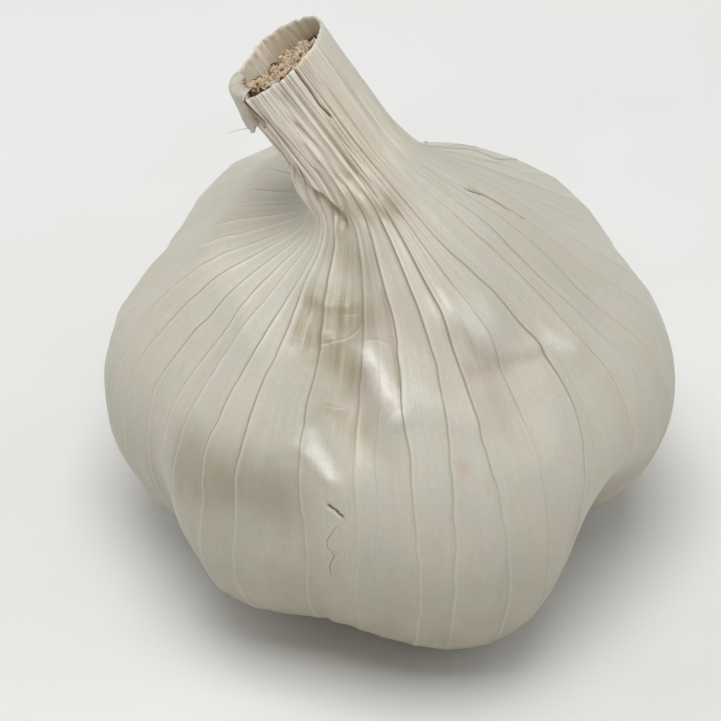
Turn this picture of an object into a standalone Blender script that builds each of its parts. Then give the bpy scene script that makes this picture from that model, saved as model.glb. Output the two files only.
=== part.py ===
"""A garlic bulb in its papery skin, with its neck cut short and its roots trimmed.

Metres, +Z up. The origin is under the root plate, on the flat spot that the bulb rests on.
The bulb's front faces -Y, and azimuths run anticlockwise from +X.
"""
import math
import random

import bmesh
import bpy
from mathutils import Vector

MM = 0.001

# Outline of the skin from the root plate up to the neck's cut rim, in millimetres:
# radius, height, depth of the grooves between the cloves, height of the ribs.
OUTLINE = (
    (8.0, 2.7, 0.5, 0.10),
    (11.8, 1.6, 1.5, 0.13),
    (18.8, 2.3, 3.0, 0.18),
    (26.9, 7.8, 4.1, 0.24),
    (30.6, 18.4, 3.9, 0.26),
    (28.4, 29.2, 3.2, 0.24),
    (20.9, 37.0, 2.4, 0.20),
    (13.6, 42.3, 1.3, 0.22),
    (7.8, 46.5, 0.5, 0.38),
    (6.0, 50.5, 0.0, 0.42),
    (5.9, 56.6, 0.0, 0.34),
    (6.1, 63.7, 0.0, 0.18),
)
STEPS_PER_SPAN = 3
NECK_STARTS = 6.0          # positions on the outline, counted in its points, between which the
NECK_FULL = 8.5            # body's ribs turn into the neck's pleats

# The outer cloves, anticlockwise: azimuth where each begins, low down and on the shoulder, depth of
# the crease there against the outline's groove, low down and on the shoulder, how far the clove
# swells past the outline, and how far its underside is raised in millimetres.
CLOVES = (
    (-104, -110, 0.48, 0.85, 0.29, -0.9),
    (-33, -37, 1.45, 0.25, 0.02, 2.6),
    (22, 24, 0.60, 0.50, 0.03, -0.2),
    (87, 84, 0.50, 0.45, 0.40, 0.8),
    (152, 150, 0.90, 0.60, -0.08, -0.3),
    (212, 209, 0.95, 0.75, -0.04, 0.8),
)
CREASE_SHARPNESS = 0.6
CREASE_ROUNDING = 0.16     # share of half a clove over which the skin bridges its crease
LOW_CREASE_TO = 14.0       # heights in millimetres between which a crease changes from low to high
HIGH_CREASE_FROM = 27.0
LIFT_FADES_BY = 30.0       # height in millimetres at which a raised underside is level again
LIFT_STARTS_AT = 8.0       # radius in millimetres, just outside the root plate
LIFT_FULL_AT = 20.0

# Hollows where the skin dips between the tips of the cloves: azimuth, height, half width and depth,
# the last three in millimetres.
HOLLOWS = (
    (-99, 36.5, 6.0, 1.0),
    (-57, 34.5, 5.0, 1.1),
    (-14, 35.0, 5.5, 0.7),
    (54, 36.0, 6.0, 0.8),
    (118, 35.0, 6.0, 1.0),
    (170, 33.0, 7.0, 1.1),
)

# Ribs are the veins of the outermost leaf. They become the pleats of the neck. In front they stand
# at these azimuths. Elsewhere they are evenly spread. Minor ribs are pleats of the neck that hardly
# show below it.
FRONT_RIBS = (-158, -150, -143, -133, -126, -113, -99, -86, -76, -68, -56, -43, -28, -20, -12)
MINOR_RIBS = (-120, -106, -93, -62, -49, -35)
BACK_RIBS = 20
MINOR_STRENGTH = 0.3
COLUMNS_PER_RIB = 3
RIB_JITTER = 1.8           # degrees
RIB_HALF_WIDTH_BODY = 0.9  # degrees
RIB_HALF_WIDTH_NECK = 2.6
FURROW_SHARE = 0.7         # depth of a neck furrow against the height of its pleat

# The neck leans to the left of the front view and a little back.
LEAN = math.radians(38.5)
LEAN_AZIMUTH = math.radians(157)
BEND_FROM = 37.5 * MM
BEND_TO = 50.5 * MM

# The mouth is the cut end of the neck: a thin rim round a shallow recess.
WALL = 0.75 * MM
RIM_CROWN = 0.3 * MM
MOUTH_DEPTH = 3.6 * MM
MOUTH_HEIGHT = OUTLINE[-1][1] * MM
MOUTH_FLOOR = MOUTH_HEIGHT - MOUTH_DEPTH
MOUTH_RADIUS = OUTLINE[-1][0] * MM
CUT_TILT = 0.95 * MM       # the knife went through at a slant

# A scrap of the outermost leaf is left round the left side of the neck, and the neck is thinner there.
SCRAP_FROM = math.radians(126)
SCRAP_TO = math.radians(246)
SCRAP_THICKNESS = 0.62 * MM
SCRAP_LOWEST = 10.0        # position on the outline, counted in its points
BED_DEPTH = 0.8 * MM
BED_STARTS = 9.1
BED_FULL = 9.9

# The dried leaf sheaths inside the neck stand in rings with uneven edges, a gap above the mouth's floor.
GAP = 0.3 * MM
CORE_COLUMNS = 48
CORE_RINGS = 4
CORE_RING_THICKNESS = 0.32 * MM
CORE_RING_GAP = 0.3 * MM
CORE_EDGES = (1.4 * MM, 1.9 * MM)    # lowest and highest edge of a ring over the core's foot
CORE_TROUGHS = (0.7 * MM, 1.0 * MM)  # the same for the troughs between the rings
CORE_TATTER = 0.16 * MM
CORE_WAVE = 0.11 * MM
CORE_PITH_RADIUS = 0.35 * MM

# The root plate sits in a recess under the bulb, with its trimmed roots round it.
RECESS_HEIGHT = 3.6 * MM
RECESS_RADIUS = 7.3 * MM
REST_RADIUS = 6.0 * MM
PLATE_COLUMNS = 40
PLATE_RADIUS = RECESS_RADIUS - GAP
PLATE_TOP = RECESS_HEIGHT - GAP
PLATE_WIDEST_AT = 1.5 * MM
PLATE_EDGE = 0.4 * MM
ROOT_SINK = 1.5 * MM
ROOT_RADII = (0.38 * MM, 0.48 * MM)
ROOT_TAPER = 0.72
ROOT_DROP = 0.3 * MM
# Rows of roots: how many, their height where they leave the plate, and how far out they reach.
ROOT_ROWS = (
    (23, 1.35 * MM, 8.7 * MM),
    (18, 1.05 * MM, 7.7 * MM),
)

SKIN_COLOUR = (0.58, 0.55, 0.48, 1.0)
CORE_COLOUR = (0.50, 0.40, 0.26, 1.0)
ROOT_COLOUR = (0.33, 0.24, 0.14, 1.0)
SHEATH_COLOUR = (0.55, 0.49, 0.38, 1.0)


def clear_scene():
    for obj in list(bpy.data.objects):
        bpy.data.objects.remove(obj, do_unlink=True)


def material(name, colour, roughness):
    made = bpy.data.materials.new(name)
    made.use_nodes = True
    shader = made.node_tree.nodes["Principled BSDF"]
    shader.inputs["Base Color"].default_value = colour
    shader.inputs["Roughness"].default_value = roughness
    shader.inputs["Metallic"].default_value = 0.0
    made.diffuse_color = colour
    return made


def finish(bm, name, finish_material, collection):
    """Turns the bmesh into a named, smooth-shaded object of the garlic's collection."""
    mesh = bpy.data.meshes.new(name)
    bm.to_mesh(mesh)
    bm.free()
    mesh.materials.append(finish_material)
    mesh.shade_smooth()
    mesh.set_sharp_from_angle(angle=math.radians(55))
    obj = bpy.data.objects.new(name, mesh)
    collection.objects.link(obj)
    return obj


def round_about(azimuth, radius, height):
    return Vector((radius * math.cos(azimuth), radius * math.sin(azimuth), height))


def smooth_step(value, start, end):
    t = min(max((value - start) / (end - start), 0.0), 1.0)
    return t * t * (3 - 2 * t)


def smooth_row(knots, position):
    """The row of values at a position counted in knots, on a Catmull-Rom curve through the knots."""
    i = min(int(position), len(knots) - 2)
    t = position - i
    before = knots[max(i - 1, 0)]
    after = knots[min(i + 2, len(knots) - 1)]
    row = []
    for p0, p1, p2, p3 in zip(before, knots[i], knots[i + 1], after):
        row.append(0.5 * (2 * p1 + (p2 - p0) * t + (2 * p0 - 5 * p1 + 4 * p2 - p3) * t ** 2
                          + (3 * p1 - p0 - 3 * p2 + p3) * t ** 3))
    return row


def outline_station(position):
    """Radius, height, outward normal, groove depth and rib height at a position on the outline."""
    radius, height, groove, rib = smooth_row(OUTLINE, position)
    step = 0.01
    ahead = smooth_row(OUTLINE, min(position + step, len(OUTLINE) - 1))
    behind = smooth_row(OUTLINE, max(position - step, 0))
    along = Vector((ahead[0] - behind[0], ahead[1] - behind[1])).normalized()
    return radius * MM, height * MM, Vector((along.y, -along.x)), groove * MM, rib * MM


def clove_share(azimuth, height):
    """How far into a crease a place is, the crease's depth there, and its clove's swell and lift."""
    shoulder = smooth_step(height / MM, LOW_CREASE_TO, HIGH_CREASE_FROM)
    starts = [low + (high - low) * shoulder for low, high, *_ in CLOVES]
    degrees = (math.degrees(azimuth) - starts[0]) % 360 + starts[0]
    clove = max(i for i, start in enumerate(starts) if degrees >= start)
    start, end = starts[clove], (starts + [starts[0] + 360])[clove + 1]
    low, high, swell, lift = CLOVES[clove][2:]
    next_low, next_high = CLOVES[(clove + 1) % len(CLOVES)][2:4]
    share = (degrees - start) / (end - start)
    side = abs(2 * share - 1)
    beyond = max(side - 1 + CREASE_ROUNDING, 0.0)
    bridged = min(side, 1 - CREASE_ROUNDING)
    sharp = bridged ** 2 + bridged * beyond * (2 - beyond / CREASE_ROUNDING)
    rounded = 0.5 * (1 - math.cos(math.pi * side))
    crease = CREASE_SHARPNESS * sharp + (1 - CREASE_SHARPNESS) * rounded
    low += (next_low - low) * smooth_step(share, 0.0, 1.0)
    high += (next_high - high) * smooth_step(share, 0.0, 1.0)
    return crease, low + (high - low) * shoulder, swell, lift * MM


def hollow_depth(azimuth, radius, height):
    """How far the skin dips into the hollows near a place on the outline."""
    depth = 0.0
    for centre, middle, half_width, deepest in HOLLOWS:
        turn = (azimuth - math.radians(centre) + math.pi) % (2 * math.pi) - math.pi
        distance = math.hypot(turn * radius, height - middle * MM) / (half_width * MM)
        if distance < 1:
            depth += deepest * MM * (1 - smooth_step(distance, 0.0, 1.0))
    return depth


def bed_depth(azimuth):
    """How much thinner the neck is at an azimuth, to take the scrap of leaf."""
    turn = azimuth % (2 * math.pi)
    edge = math.radians(12)
    share = smooth_step(turn, SCRAP_FROM - edge, SCRAP_FROM)
    return BED_DEPTH * share * (1 - smooth_step(turn, SCRAP_TO, SCRAP_TO + edge))


def bend(point):
    """Leans what is above the shoulders over, along an arc that starts and ends gently."""
    direction = Vector((math.cos(LEAN_AZIMUTH), math.sin(LEAN_AZIMUTH), 0))
    along = point.dot(direction)
    aside = point - direction * along
    aside.z = 0
    if point.z <= BEND_FROM:
        return point.copy()
    steps = 24
    reach = min(point.z, BEND_TO) - BEND_FROM
    out, up = 0.0, BEND_FROM
    for i in range(steps):
        turned = LEAN * smooth_step(BEND_FROM + (i + 0.5) / steps * reach, BEND_FROM, BEND_TO)
        out += math.sin(turned) * reach / steps
        up += math.cos(turned) * reach / steps
    angle = LEAN * smooth_step(point.z, BEND_FROM, BEND_TO)
    beyond = max(point.z - BEND_TO, 0.0)
    out += beyond * math.sin(angle) + along * math.cos(angle)
    up += beyond * math.cos(angle) - along * math.sin(angle)
    return direction * out + aside + Vector((0, 0, up))


def skin_point(position, azimuth, rib_share, inward=0.0):
    """A point of the skin, or a set distance inside it, with its rib or furrow raised."""
    radius, height, normal, groove, rib = outline_station(position)
    crease, depth, swell, lift = clove_share(azimuth, height)
    neck = smooth_step(position, NECK_STARTS, NECK_FULL)
    raised = rib * (rib_share if rib_share > 0 else rib_share * neck * FURROW_SHARE)
    offset = groove * (swell * (1 - crease) - depth * crease) + raised - inward
    offset -= hollow_depth(azimuth, radius, height)
    offset -= bed_depth(azimuth) * smooth_step(position, BED_STARTS, BED_FULL)
    low = max(1 - height / (LIFT_FADES_BY * MM), 0.0)
    lift *= (1 - crease) * low * smooth_step(radius, LIFT_STARTS_AT * MM, LIFT_FULL_AT * MM)
    radius += offset * normal.x
    height += offset * normal.y + lift
    height += CUT_TILT * math.sin(azimuth) * smooth_step(position, 10.0, 11.0)
    return round_about(azimuth, radius, height)


def rib_azimuths():
    """Azimuth in degrees and strength of each rib, anticlockwise from the first in front."""
    draw = random.Random(7)
    ribs = [(azimuth, draw.uniform(0.75, 1.15)) for azimuth in FRONT_RIBS]
    ribs += [(azimuth, MINOR_STRENGTH) for azimuth in MINOR_RIBS]
    start = FRONT_RIBS[-1]
    spacing = (FRONT_RIBS[0] + 360 - start) / (BACK_RIBS + 1)
    for i in range(BACK_RIBS):
        azimuth = start + spacing * (i + 1) + draw.uniform(-RIB_JITTER, RIB_JITTER)
        ribs.append((azimuth, draw.uniform(0.6, 1.15)))
    return sorted(ribs)


def column_place(column, ribs, neck):
    """Azimuth and rib share of a column: the crest of a rib, then the feet between it and the next."""
    rib, place = divmod(column, COLUMNS_PER_RIB)
    azimuth, strength = ribs[rib]
    following, next_strength = ribs[(rib + 1) % len(ribs)]
    if rib + 1 == len(ribs):
        following += 360
    half_width = RIB_HALF_WIDTH_BODY + (RIB_HALF_WIDTH_NECK - RIB_HALF_WIDTH_BODY) * neck
    half_width = min(half_width, (following - azimuth) / 3)
    strength += (1 - strength) * neck * 0.6
    next_strength += (1 - next_strength) * neck * 0.6
    if place == 0:
        return math.radians(azimuth), strength
    if place == 1:
        return math.radians(azimuth + half_width), -strength
    return math.radians(following - half_width), -next_strength


def skin_stations():
    """Functions of azimuth and rib share, one for each ring from the underside's centre to the mouth's."""
    last = len(OUTLINE) - 1
    stations = []

    def flat(radius, height):
        return lambda azimuth, rib: round_about(azimuth, radius, height)

    for share in (0.0, 0.5, 1.0):
        stations.append((flat(RECESS_RADIUS * share, RECESS_HEIGHT), 0.0))
    for i in range(last * STEPS_PER_SPAN + 1):
        position = i / STEPS_PER_SPAN
        stations.append((lambda azimuth, rib, p=position: skin_point(p, azimuth, rib), position))

    def rim(azimuth, rib):
        return skin_point(last, azimuth, rib, WALL / 2) + Vector((0, 0, RIM_CROWN))

    def inner(drop):
        return lambda azimuth, rib: skin_point(last, azimuth, rib, WALL) - Vector((0, 0, drop))

    def floor_edge(azimuth, rib):
        edge = skin_point(last, azimuth, rib, WALL)
        edge.z = MOUTH_FLOOR
        return edge

    stations.append((rim, last))
    stations.append((inner(0.0), last))
    stations.append((inner(MOUTH_DEPTH * 0.4), last))
    stations.append((floor_edge, last))
    stations.append((flat(MOUTH_RADIUS * 0.5, MOUTH_FLOOR), last))
    stations.append((flat(0.0, MOUTH_FLOOR), last))
    return stations


def sphere_to_rings(bm, columns, rings, place):
    """A closed UV sphere whose rings, from the bottom, are moved to where place(ring, column) says."""
    bmesh.ops.create_uvsphere(bm, u_segments=columns, v_segments=rings - 1, radius=1.0)
    for vert in bm.verts:
        ring = round((1 - math.acos(max(-1.0, min(1.0, vert.co.z))) / math.pi) * (rings - 1))
        column = round(math.atan2(vert.co.y, vert.co.x) / (2 * math.pi) * columns) % columns
        vert.co = place(ring, column)


def make_skin(collection):
    """The papery skin round the cloves and up the neck, drawn in one with what it wraps."""
    ribs = rib_azimuths()
    stations = skin_stations()
    columns = len(ribs) * COLUMNS_PER_RIB

    def place(ring, column):
        make_point, position = stations[ring]
        neck = smooth_step(position, NECK_STARTS, NECK_FULL)
        return bend(make_point(*column_place(column, ribs, neck)))

    bm = bmesh.new()
    sphere_to_rings(bm, columns, len(stations), place)
    return finish(bm, "bulb_skin", material("papery_skin", SKIN_COLOUR, 0.6), collection)


def core_rings():
    """Radius and height of the core's rings, from the middle of its foot out and over to its pith."""
    draw = random.Random(11)
    foot = MOUTH_FLOOR + GAP
    furrow = FURROW_SHARE * OUTLINE[-1][3] * MM
    widest = MOUTH_RADIUS - WALL - furrow - GAP
    rings = [(0.0, foot), (widest * 0.96, foot), (widest, foot + 0.4 * MM)]
    spacing = (widest - CORE_PITH_RADIUS) / CORE_RINGS
    for i in range(CORE_RINGS):
        outer = widest - i * spacing
        rings.append((outer, foot + draw.uniform(*CORE_EDGES)))
        rings.append((outer - CORE_RING_THICKNESS, foot + draw.uniform(*CORE_EDGES)))
        rings.append((outer - CORE_RING_THICKNESS - CORE_RING_GAP, foot + draw.uniform(*CORE_TROUGHS)))
    rings.append((CORE_PITH_RADIUS, foot + CORE_EDGES[0]))
    rings.append((0.0, foot + CORE_EDGES[0]))
    return rings


def make_neck_core(collection):
    """The dried leaf sheaths rolled inside the neck, cut across."""
    rings = core_rings()
    widest = max(radius for radius, height in rings)
    draw = random.Random(12)
    tatter = [[draw.uniform(-CORE_TATTER, CORE_TATTER) for _ in range(CORE_COLUMNS)] for _ in rings]

    def place(ring, column):
        radius, height = rings[ring]
        azimuth = 2 * math.pi * column / CORE_COLUMNS
        radius -= bed_depth(azimuth) * radius / widest
        if ring > 3 and radius > 0:
            radius += CORE_WAVE * math.sin(3 * azimuth + ring // 3) * min(1.0, 2 * radius / widest)
            height += tatter[ring][column]
        return bend(round_about(azimuth, radius, height))

    bm = bmesh.new()
    sphere_to_rings(bm, CORE_COLUMNS, len(rings), place)
    return finish(bm, "neck_core", material("dried_sheaths", CORE_COLOUR, 0.85), collection)


def make_torn_sheath(collection):
    """The scrap of the outermost leaf, torn off below and standing a little off the neck there."""
    columns, rows = 18, 5
    top = len(OUTLINE) - 1
    bm = bmesh.new()
    bmesh.ops.create_grid(bm, x_segments=columns, y_segments=rows, size=0.5)
    for vert in bm.verts:
        across, up = vert.co.x + 0.5, vert.co.y + 0.5
        azimuth = SCRAP_FROM + (SCRAP_TO - SCRAP_FROM) * across
        # The tear runs from high at the back to a ragged low tip at the front.
        ragged = 0.10 * math.sin(23 * across) + 0.07 * math.sin(41 * across + 1)
        length = 0.45 + 0.45 * smooth_step(across, 0.1, 0.8) - 0.35 * smooth_step(across, 0.9, 1.0) + ragged
        lowest = top - (top - SCRAP_LOWEST) * length
        position = lowest + (top - lowest) * up
        stand_off = GAP + SCRAP_THICKNESS / 2 + 0.05 * MM + 0.35 * MM * (1 - up) ** 2
        vert.co = bend(skin_point(position, azimuth, 0.0, -stand_off))
    bmesh.ops.recalc_face_normals(bm, faces=bm.faces)
    torn = finish(bm, "torn_sheath", material("torn_sheath", SHEATH_COLOUR, 0.7), collection)
    shell = torn.modifiers.new("thickness", "SOLIDIFY")
    shell.thickness = SCRAP_THICKNESS
    shell.offset = 0.0
    return torn


def make_root(finish_material, collection, name, start, end, radius):
    """One trimmed root: a six-sided taper from inside the plate to its cut end."""
    way = end - start
    turn = way.to_track_quat("Z", "Y").to_matrix().to_4x4()
    turn.translation = (start + end) / 2
    bm = bmesh.new()
    bmesh.ops.create_cone(bm, cap_ends=True, segments=6, radius1=radius, radius2=radius * ROOT_TAPER,
                          depth=way.length, matrix=turn)
    return finish(bm, name, finish_material, collection)


def make_roots(finish_material, collection):
    """The rows of trimmed roots, a little uneven in place, reach and thickness."""
    draw = random.Random(5)
    roots = []
    for row, (count, height, reach) in enumerate(ROOT_ROWS):
        for i in range(count):
            azimuth = 2 * math.pi * (i + 0.5 * row + draw.uniform(-0.16, 0.16)) / count
            start = round_about(azimuth, REST_RADIUS - ROOT_SINK, height)
            drop = ROOT_DROP * draw.uniform(0.6, 1.3)
            end = round_about(azimuth, reach + draw.uniform(-0.5, 0.5) * MM, height - drop)
            radius = draw.uniform(*ROOT_RADII)
            roots.append(make_root(finish_material, collection, f"root_{row}_{i}", start, end, radius))
    return roots


def join_by_union(base, pieces, collection_name):
    """Joins loose pieces to their base in one Boolean, applies it and removes them."""
    holder = bpy.data.collections.new(collection_name)
    bpy.context.scene.collection.children.link(holder)
    for piece in pieces:
        for owner in piece.users_collection:
            owner.objects.unlink(piece)
        holder.objects.link(piece)
    union = base.modifiers.new("join", "BOOLEAN")
    union.operation = "UNION"
    union.operand_type = "COLLECTION"
    union.collection = holder
    union.solver = "EXACT"
    bpy.context.view_layer.update()
    joined = bpy.data.meshes.new_from_object(base.evaluated_get(bpy.context.evaluated_depsgraph_get()))
    base.modifiers.clear()
    base.data = joined
    for piece in pieces:
        bpy.data.objects.remove(piece, do_unlink=True)
    bpy.data.collections.remove(holder)


def make_root_plate(collection):
    """The hard disc that the cloves grow from, flat underneath, with the stubs of its trimmed roots."""
    finish_material = material("root_plate", ROOT_COLOUR, 0.9)
    rings = (
        (0.0, 0.0),
        (REST_RADIUS, 0.0),
        (REST_RADIUS + PLATE_EDGE, PLATE_EDGE),
        (PLATE_RADIUS, PLATE_WIDEST_AT),
        (PLATE_RADIUS, PLATE_TOP - PLATE_EDGE),
        (PLATE_RADIUS - PLATE_EDGE, PLATE_TOP),
        (0.0, PLATE_TOP),
    )

    def place(ring, column):
        radius, height = rings[ring]
        return round_about(2 * math.pi * column / PLATE_COLUMNS, radius, height)

    bm = bmesh.new()
    sphere_to_rings(bm, PLATE_COLUMNS, len(rings), place)
    plate = finish(bm, "root_plate", finish_material, collection)
    join_by_union(plate, make_roots(finish_material, collection), "roots")
    return plate


def main():
    clear_scene()
    garlic = bpy.data.collections.new("garlic_bulb")
    bpy.context.scene.collection.children.link(garlic)
    make_skin(garlic)
    make_neck_core(garlic)
    make_torn_sheath(garlic)
    make_root_plate(garlic)


main()
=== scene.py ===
"""The looks of a garlic bulb: its papery skin, the cut neck, the torn leaf and the trimmed roots.

Metres, +Z up, the front towards -Y. Azimuths run anticlockwise from +X. A position on the skin is
counted in points of its outline, from 0 beside the root plate to 11 at the neck's cut rim.
"""

import logging
import math
import random
from dataclasses import dataclass
from enum import Enum
from functools import partial
from typing import Any

import bmesh
import bpy
import numpy as np
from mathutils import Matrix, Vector


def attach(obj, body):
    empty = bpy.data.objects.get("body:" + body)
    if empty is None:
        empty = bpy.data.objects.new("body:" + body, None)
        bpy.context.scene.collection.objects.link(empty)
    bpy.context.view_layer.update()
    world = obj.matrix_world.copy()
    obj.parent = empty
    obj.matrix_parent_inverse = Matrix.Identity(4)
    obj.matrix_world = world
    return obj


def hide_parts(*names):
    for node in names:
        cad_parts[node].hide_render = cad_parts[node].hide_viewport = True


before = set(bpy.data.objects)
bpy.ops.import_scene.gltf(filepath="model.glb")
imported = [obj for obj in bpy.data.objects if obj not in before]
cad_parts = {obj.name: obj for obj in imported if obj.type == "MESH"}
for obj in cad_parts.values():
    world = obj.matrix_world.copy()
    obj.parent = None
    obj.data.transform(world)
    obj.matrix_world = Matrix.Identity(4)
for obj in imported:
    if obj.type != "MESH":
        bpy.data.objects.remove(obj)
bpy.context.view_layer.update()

MM = 0.001
TAU = 2 * math.pi
BODY = "root"
LOG = logging.getLogger("garlic_bulb")

# Bumps after which ripple's pattern comes round.
RIPPLE_PERIOD = 64
# First noise seeds, so that no two patterns of a finish share one.
STAIN_SEED = 20
GLOSS_SEED = 40.0
GRAIN_SEED = 60
# Nearly all of a noise's values lie between these.
NOISE_RANGE = {"From Min": 0.3, "From Max": 0.7}
# Crinkles lie across the fibres.
CRINKLE_STRETCH = (0.2, 0.2, 12.0)

# Blender's names for the nodes used most.
MATH = "ShaderNodeMath"
VECTOR_MATH = "ShaderNodeVectorMath"
COMBINE = "ShaderNodeCombineXYZ"
NOISE = "ShaderNodeTexNoise"
MAP_RANGE = "ShaderNodeMapRange"
MIX = "ShaderNodeMix"
ATTRIBUTE = "ShaderNodeAttribute"
RANDOM = "FunctionNodeRandomValue"
BEZIER = "GeometryNodeCurveQuadraticBezier"
CIRCLE = "GeometryNodeCurvePrimitiveCircle"
READ = "GeometryNodeInputNamedAttribute"
SET_POSITION = "GeometryNodeSetPosition"

# Settings that many nodes share.
TIMES = {"operation": "MULTIPLY"}
MINUS = {"operation": "SUBTRACT"}
SCALED = {"operation": "SCALE"}
CLAMPED = {"operation": "MULTIPLY", "use_clamp": True}
SEEDED = {"noise_dimensions": "4D"}
SMOOTH = {"interpolation_type": "SMOOTHSTEP"}
COLOURS = {"data_type": "RGBA"}
VECTORS = {"data_type": "FLOAT_VECTOR"}


class Slot(Enum):
    """The material slots of the pieces."""

    SKIN = "papery_skin"
    CORE = "dried_sheaths"
    SHEATH = "torn_sheath"
    ROOTS = "root_plate"


class Lie(Enum):
    """What a pattern in a finish follows."""

    PIECE = 1
    FIBRES = 2


class Fold(Enum):
    """How a fold's height falls off across it: round, sharp, or steep on one side only."""

    SWELL = 1
    RIDGE = 2
    LIP = 3


def linear(hex_colour: str) -> tuple[float, float, float, float]:
    """Turns an sRGB hex colour into the linear colour that a shader takes.

    Args:
        hex_colour: six hex digits, such as "D8D3C6".

    Returns:
        Linear red, green, blue and an alpha of 1.
    """
    parts = [int(hex_colour[i : i + 2], 16) / 255 for i in (0, 2, 4)]
    bright = [c / 12.92 if c <= 0.04045 else ((c + 0.055) / 1.055) ** 2.4 for c in parts]
    return bright[0], bright[1], bright[2], 1.0


def add_node(tree: Any, kind: str, settings: dict | None = None, inputs: dict | None = None) -> Any:
    """Adds a node to a shader or geometry tree.

    Args:
        tree: the node tree.
        kind: the node's type name.
        settings: the node's own properties.
        inputs: sockets by name or number, each with a value, an output socket to link from, or a node
            whose first output is linked.

    Returns:
        The new node.
    """
    node = tree.nodes.new(kind)
    for name, value in (settings or {}).items():
        setattr(node, name, value)
    for name, value in (inputs or {}).items():
        source = value.outputs[0] if isinstance(value, bpy.types.Node) else value
        if isinstance(source, bpy.types.NodeSocket):
            tree.links.new(source, node.inputs[name])
        else:
            node.inputs[name].default_value = source
    return node


def smooth_step(value: Any, start: float, end: float) -> Any:
    """Rises smoothly from 0 at start to 1 at end, for a number or an array."""
    share = np.clip((value - start) / (end - start), 0.0, 1.0)
    return share * share * (3 - 2 * share)


def ripple(along: Any, across: Any, seed: int, period: int = RIPPLE_PERIOD) -> Any:
    """Smooth, repeatable unevenness over a plane.

    Args:
        along: first coordinate, in bumps, which comes round after a whole period.
        across: second coordinate, in bumps.
        seed: picks the pattern.
        period: bumps after which the first coordinate comes round.

    Returns:
        Heights from -1 to 1.
    """
    heights = np.random.default_rng(seed).uniform(-1, 1, (period, RIPPLE_PERIOD))
    i, j = np.floor(along).astype(int), np.floor(across).astype(int)
    s, t = smooth_step(along - i, 0, 1), smooth_step(across - j, 0, 1)
    i, k = i % period, (i + 1) % period
    j, m = j % RIPPLE_PERIOD, (j + 1) % RIPPLE_PERIOD
    near = heights[i, j] * (1 - s) + heights[k, j] * s
    far = heights[i, m] * (1 - s) + heights[k, m] * s
    return near * (1 - t) + far * t


@dataclass(frozen=True)
class Fade:
    """A value that goes smoothly from `low` to `high` between two places."""

    start: float
    end: float
    low: float = 0.0
    high: float = 1.0

    def at(self, place: Any) -> Any:
        """The value at a place, or at each of an array of places."""
        return self.low + (self.high - self.low) * smooth_step(place, self.start, self.end)


@dataclass(frozen=True)
class Wave:
    """Unevenness round the bulb: its height, its bumps all the way round, and their length.

    With a power, it has sharp crests instead, and the higher the power, the thinner they are.
    """

    height: float
    around: int
    length: float
    seed: int
    power: int = 0

    def at(self, turns: Any, along: Any, shift: int = 0) -> Any:
        """The wave's height at places.

        Args:
            turns: how far round they are, in whole turns.
            along: how far along, in the unit of the wave's length.
            shift: added to the seed, for another wave of the same kind.

        Returns:
            Heights, from -height to height, or from 0 to height for crests.
        """
        level = ripple(turns * self.around, along / self.length, self.seed + shift, self.around)
        if self.power:
            level = (1 - np.abs(level)) ** self.power
        return self.height * level


# Meshes and pieces.


def ring_mesh(name: str, rings: np.ndarray, start: Any, end: Any, fields: dict) -> bpy.types.Mesh:
    """A closed mesh of rings with a pole at each end.

    Args:
        name: the mesh's name.
        rings: points by ring and column, columns anticlockwise, rings from the start pole to the end.
        start: the point that closes the first ring.
        end: the point that closes the last ring.
        fields: named values by ring and column, kept on the points; the poles take their ring's mean.

    Returns:
        The mesh, smooth shaded.
    """
    rows, columns = rings.shape[:2]
    points = np.vstack([rings.reshape(-1, 3), [start], [end]])
    here = np.arange(columns)
    following = (here + 1) % columns
    low = (np.arange(rows - 1) * columns)[:, None]
    quads = np.stack([low + here, low + following, low + columns + following, low + columns + here], -1)
    first, last, top = rows * columns, rows * columns + 1, (rows - 1) * columns
    faces = quads.reshape(-1, 4).tolist()
    faces += [(int(b), int(a), first) for a, b in zip(here, following)]
    faces += [(int(top + a), int(top + b), last) for a, b in zip(here, following)]
    mesh = bpy.data.meshes.new(name)
    mesh.from_pydata(points.tolist(), [], faces)
    for field_name, values in fields.items():
        add_field(mesh, field_name, values)
    mesh.shade_smooth()
    return mesh


def add_field(mesh: bpy.types.Mesh, name: str, values: np.ndarray) -> None:
    """Keeps a number or a vector on each point of a ring mesh.

    Args:
        mesh: a mesh from ring_mesh.
        name: what materials and geometry nodes call it.
        values: values by ring and column.
    """
    wide = values.ndim == 3
    flat = values.reshape(-1, values.shape[-1]) if wide else values.reshape(-1, 1)
    poles = [values[row].reshape(-1, flat.shape[1]).mean(0) for row in (0, -1)]
    kept = mesh.attributes.new(name, "FLOAT_VECTOR" if wide else "FLOAT", "POINT")
    kept.data.foreach_set("vector" if wide else "value", np.vstack([flat, *poles]).astype(np.float32).ravel())


def strip_mesh(name: str, grid: np.ndarray, fields: dict) -> bpy.types.Mesh:
    """An open sheet of quads.

    Args:
        name: the mesh's name.
        grid: points by row and column.
        fields: named numbers by row and column, kept on the points.

    Returns:
        The mesh, smooth shaded.
    """
    rows, columns = grid.shape[:2]
    low = (np.arange(rows - 1) * columns)[:, None] + np.arange(columns - 1)
    quads = np.stack([low, low + 1, low + columns + 1, low + columns], -1).reshape(-1, 4)
    mesh = bpy.data.meshes.new(name)
    mesh.from_pydata(grid.reshape(-1, 3).tolist(), [], quads.tolist())
    for field_name, values in fields.items():
        kept = mesh.attributes.new(field_name, "FLOAT", "POINT")
        kept.data.foreach_set("value", values.astype(np.float32).ravel())
    mesh.shade_smooth()
    return mesh


def show(mesh: Any, name: str) -> bpy.types.Object:
    """Puts a mesh or a curve in the scene as an object at the origin.

    Args:
        mesh: the mesh or the curve.
        name: the object's name.

    Returns:
        The object.
    """
    piece = bpy.data.objects.new(name, mesh)
    bpy.context.scene.collection.objects.link(piece)
    return piece


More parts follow.
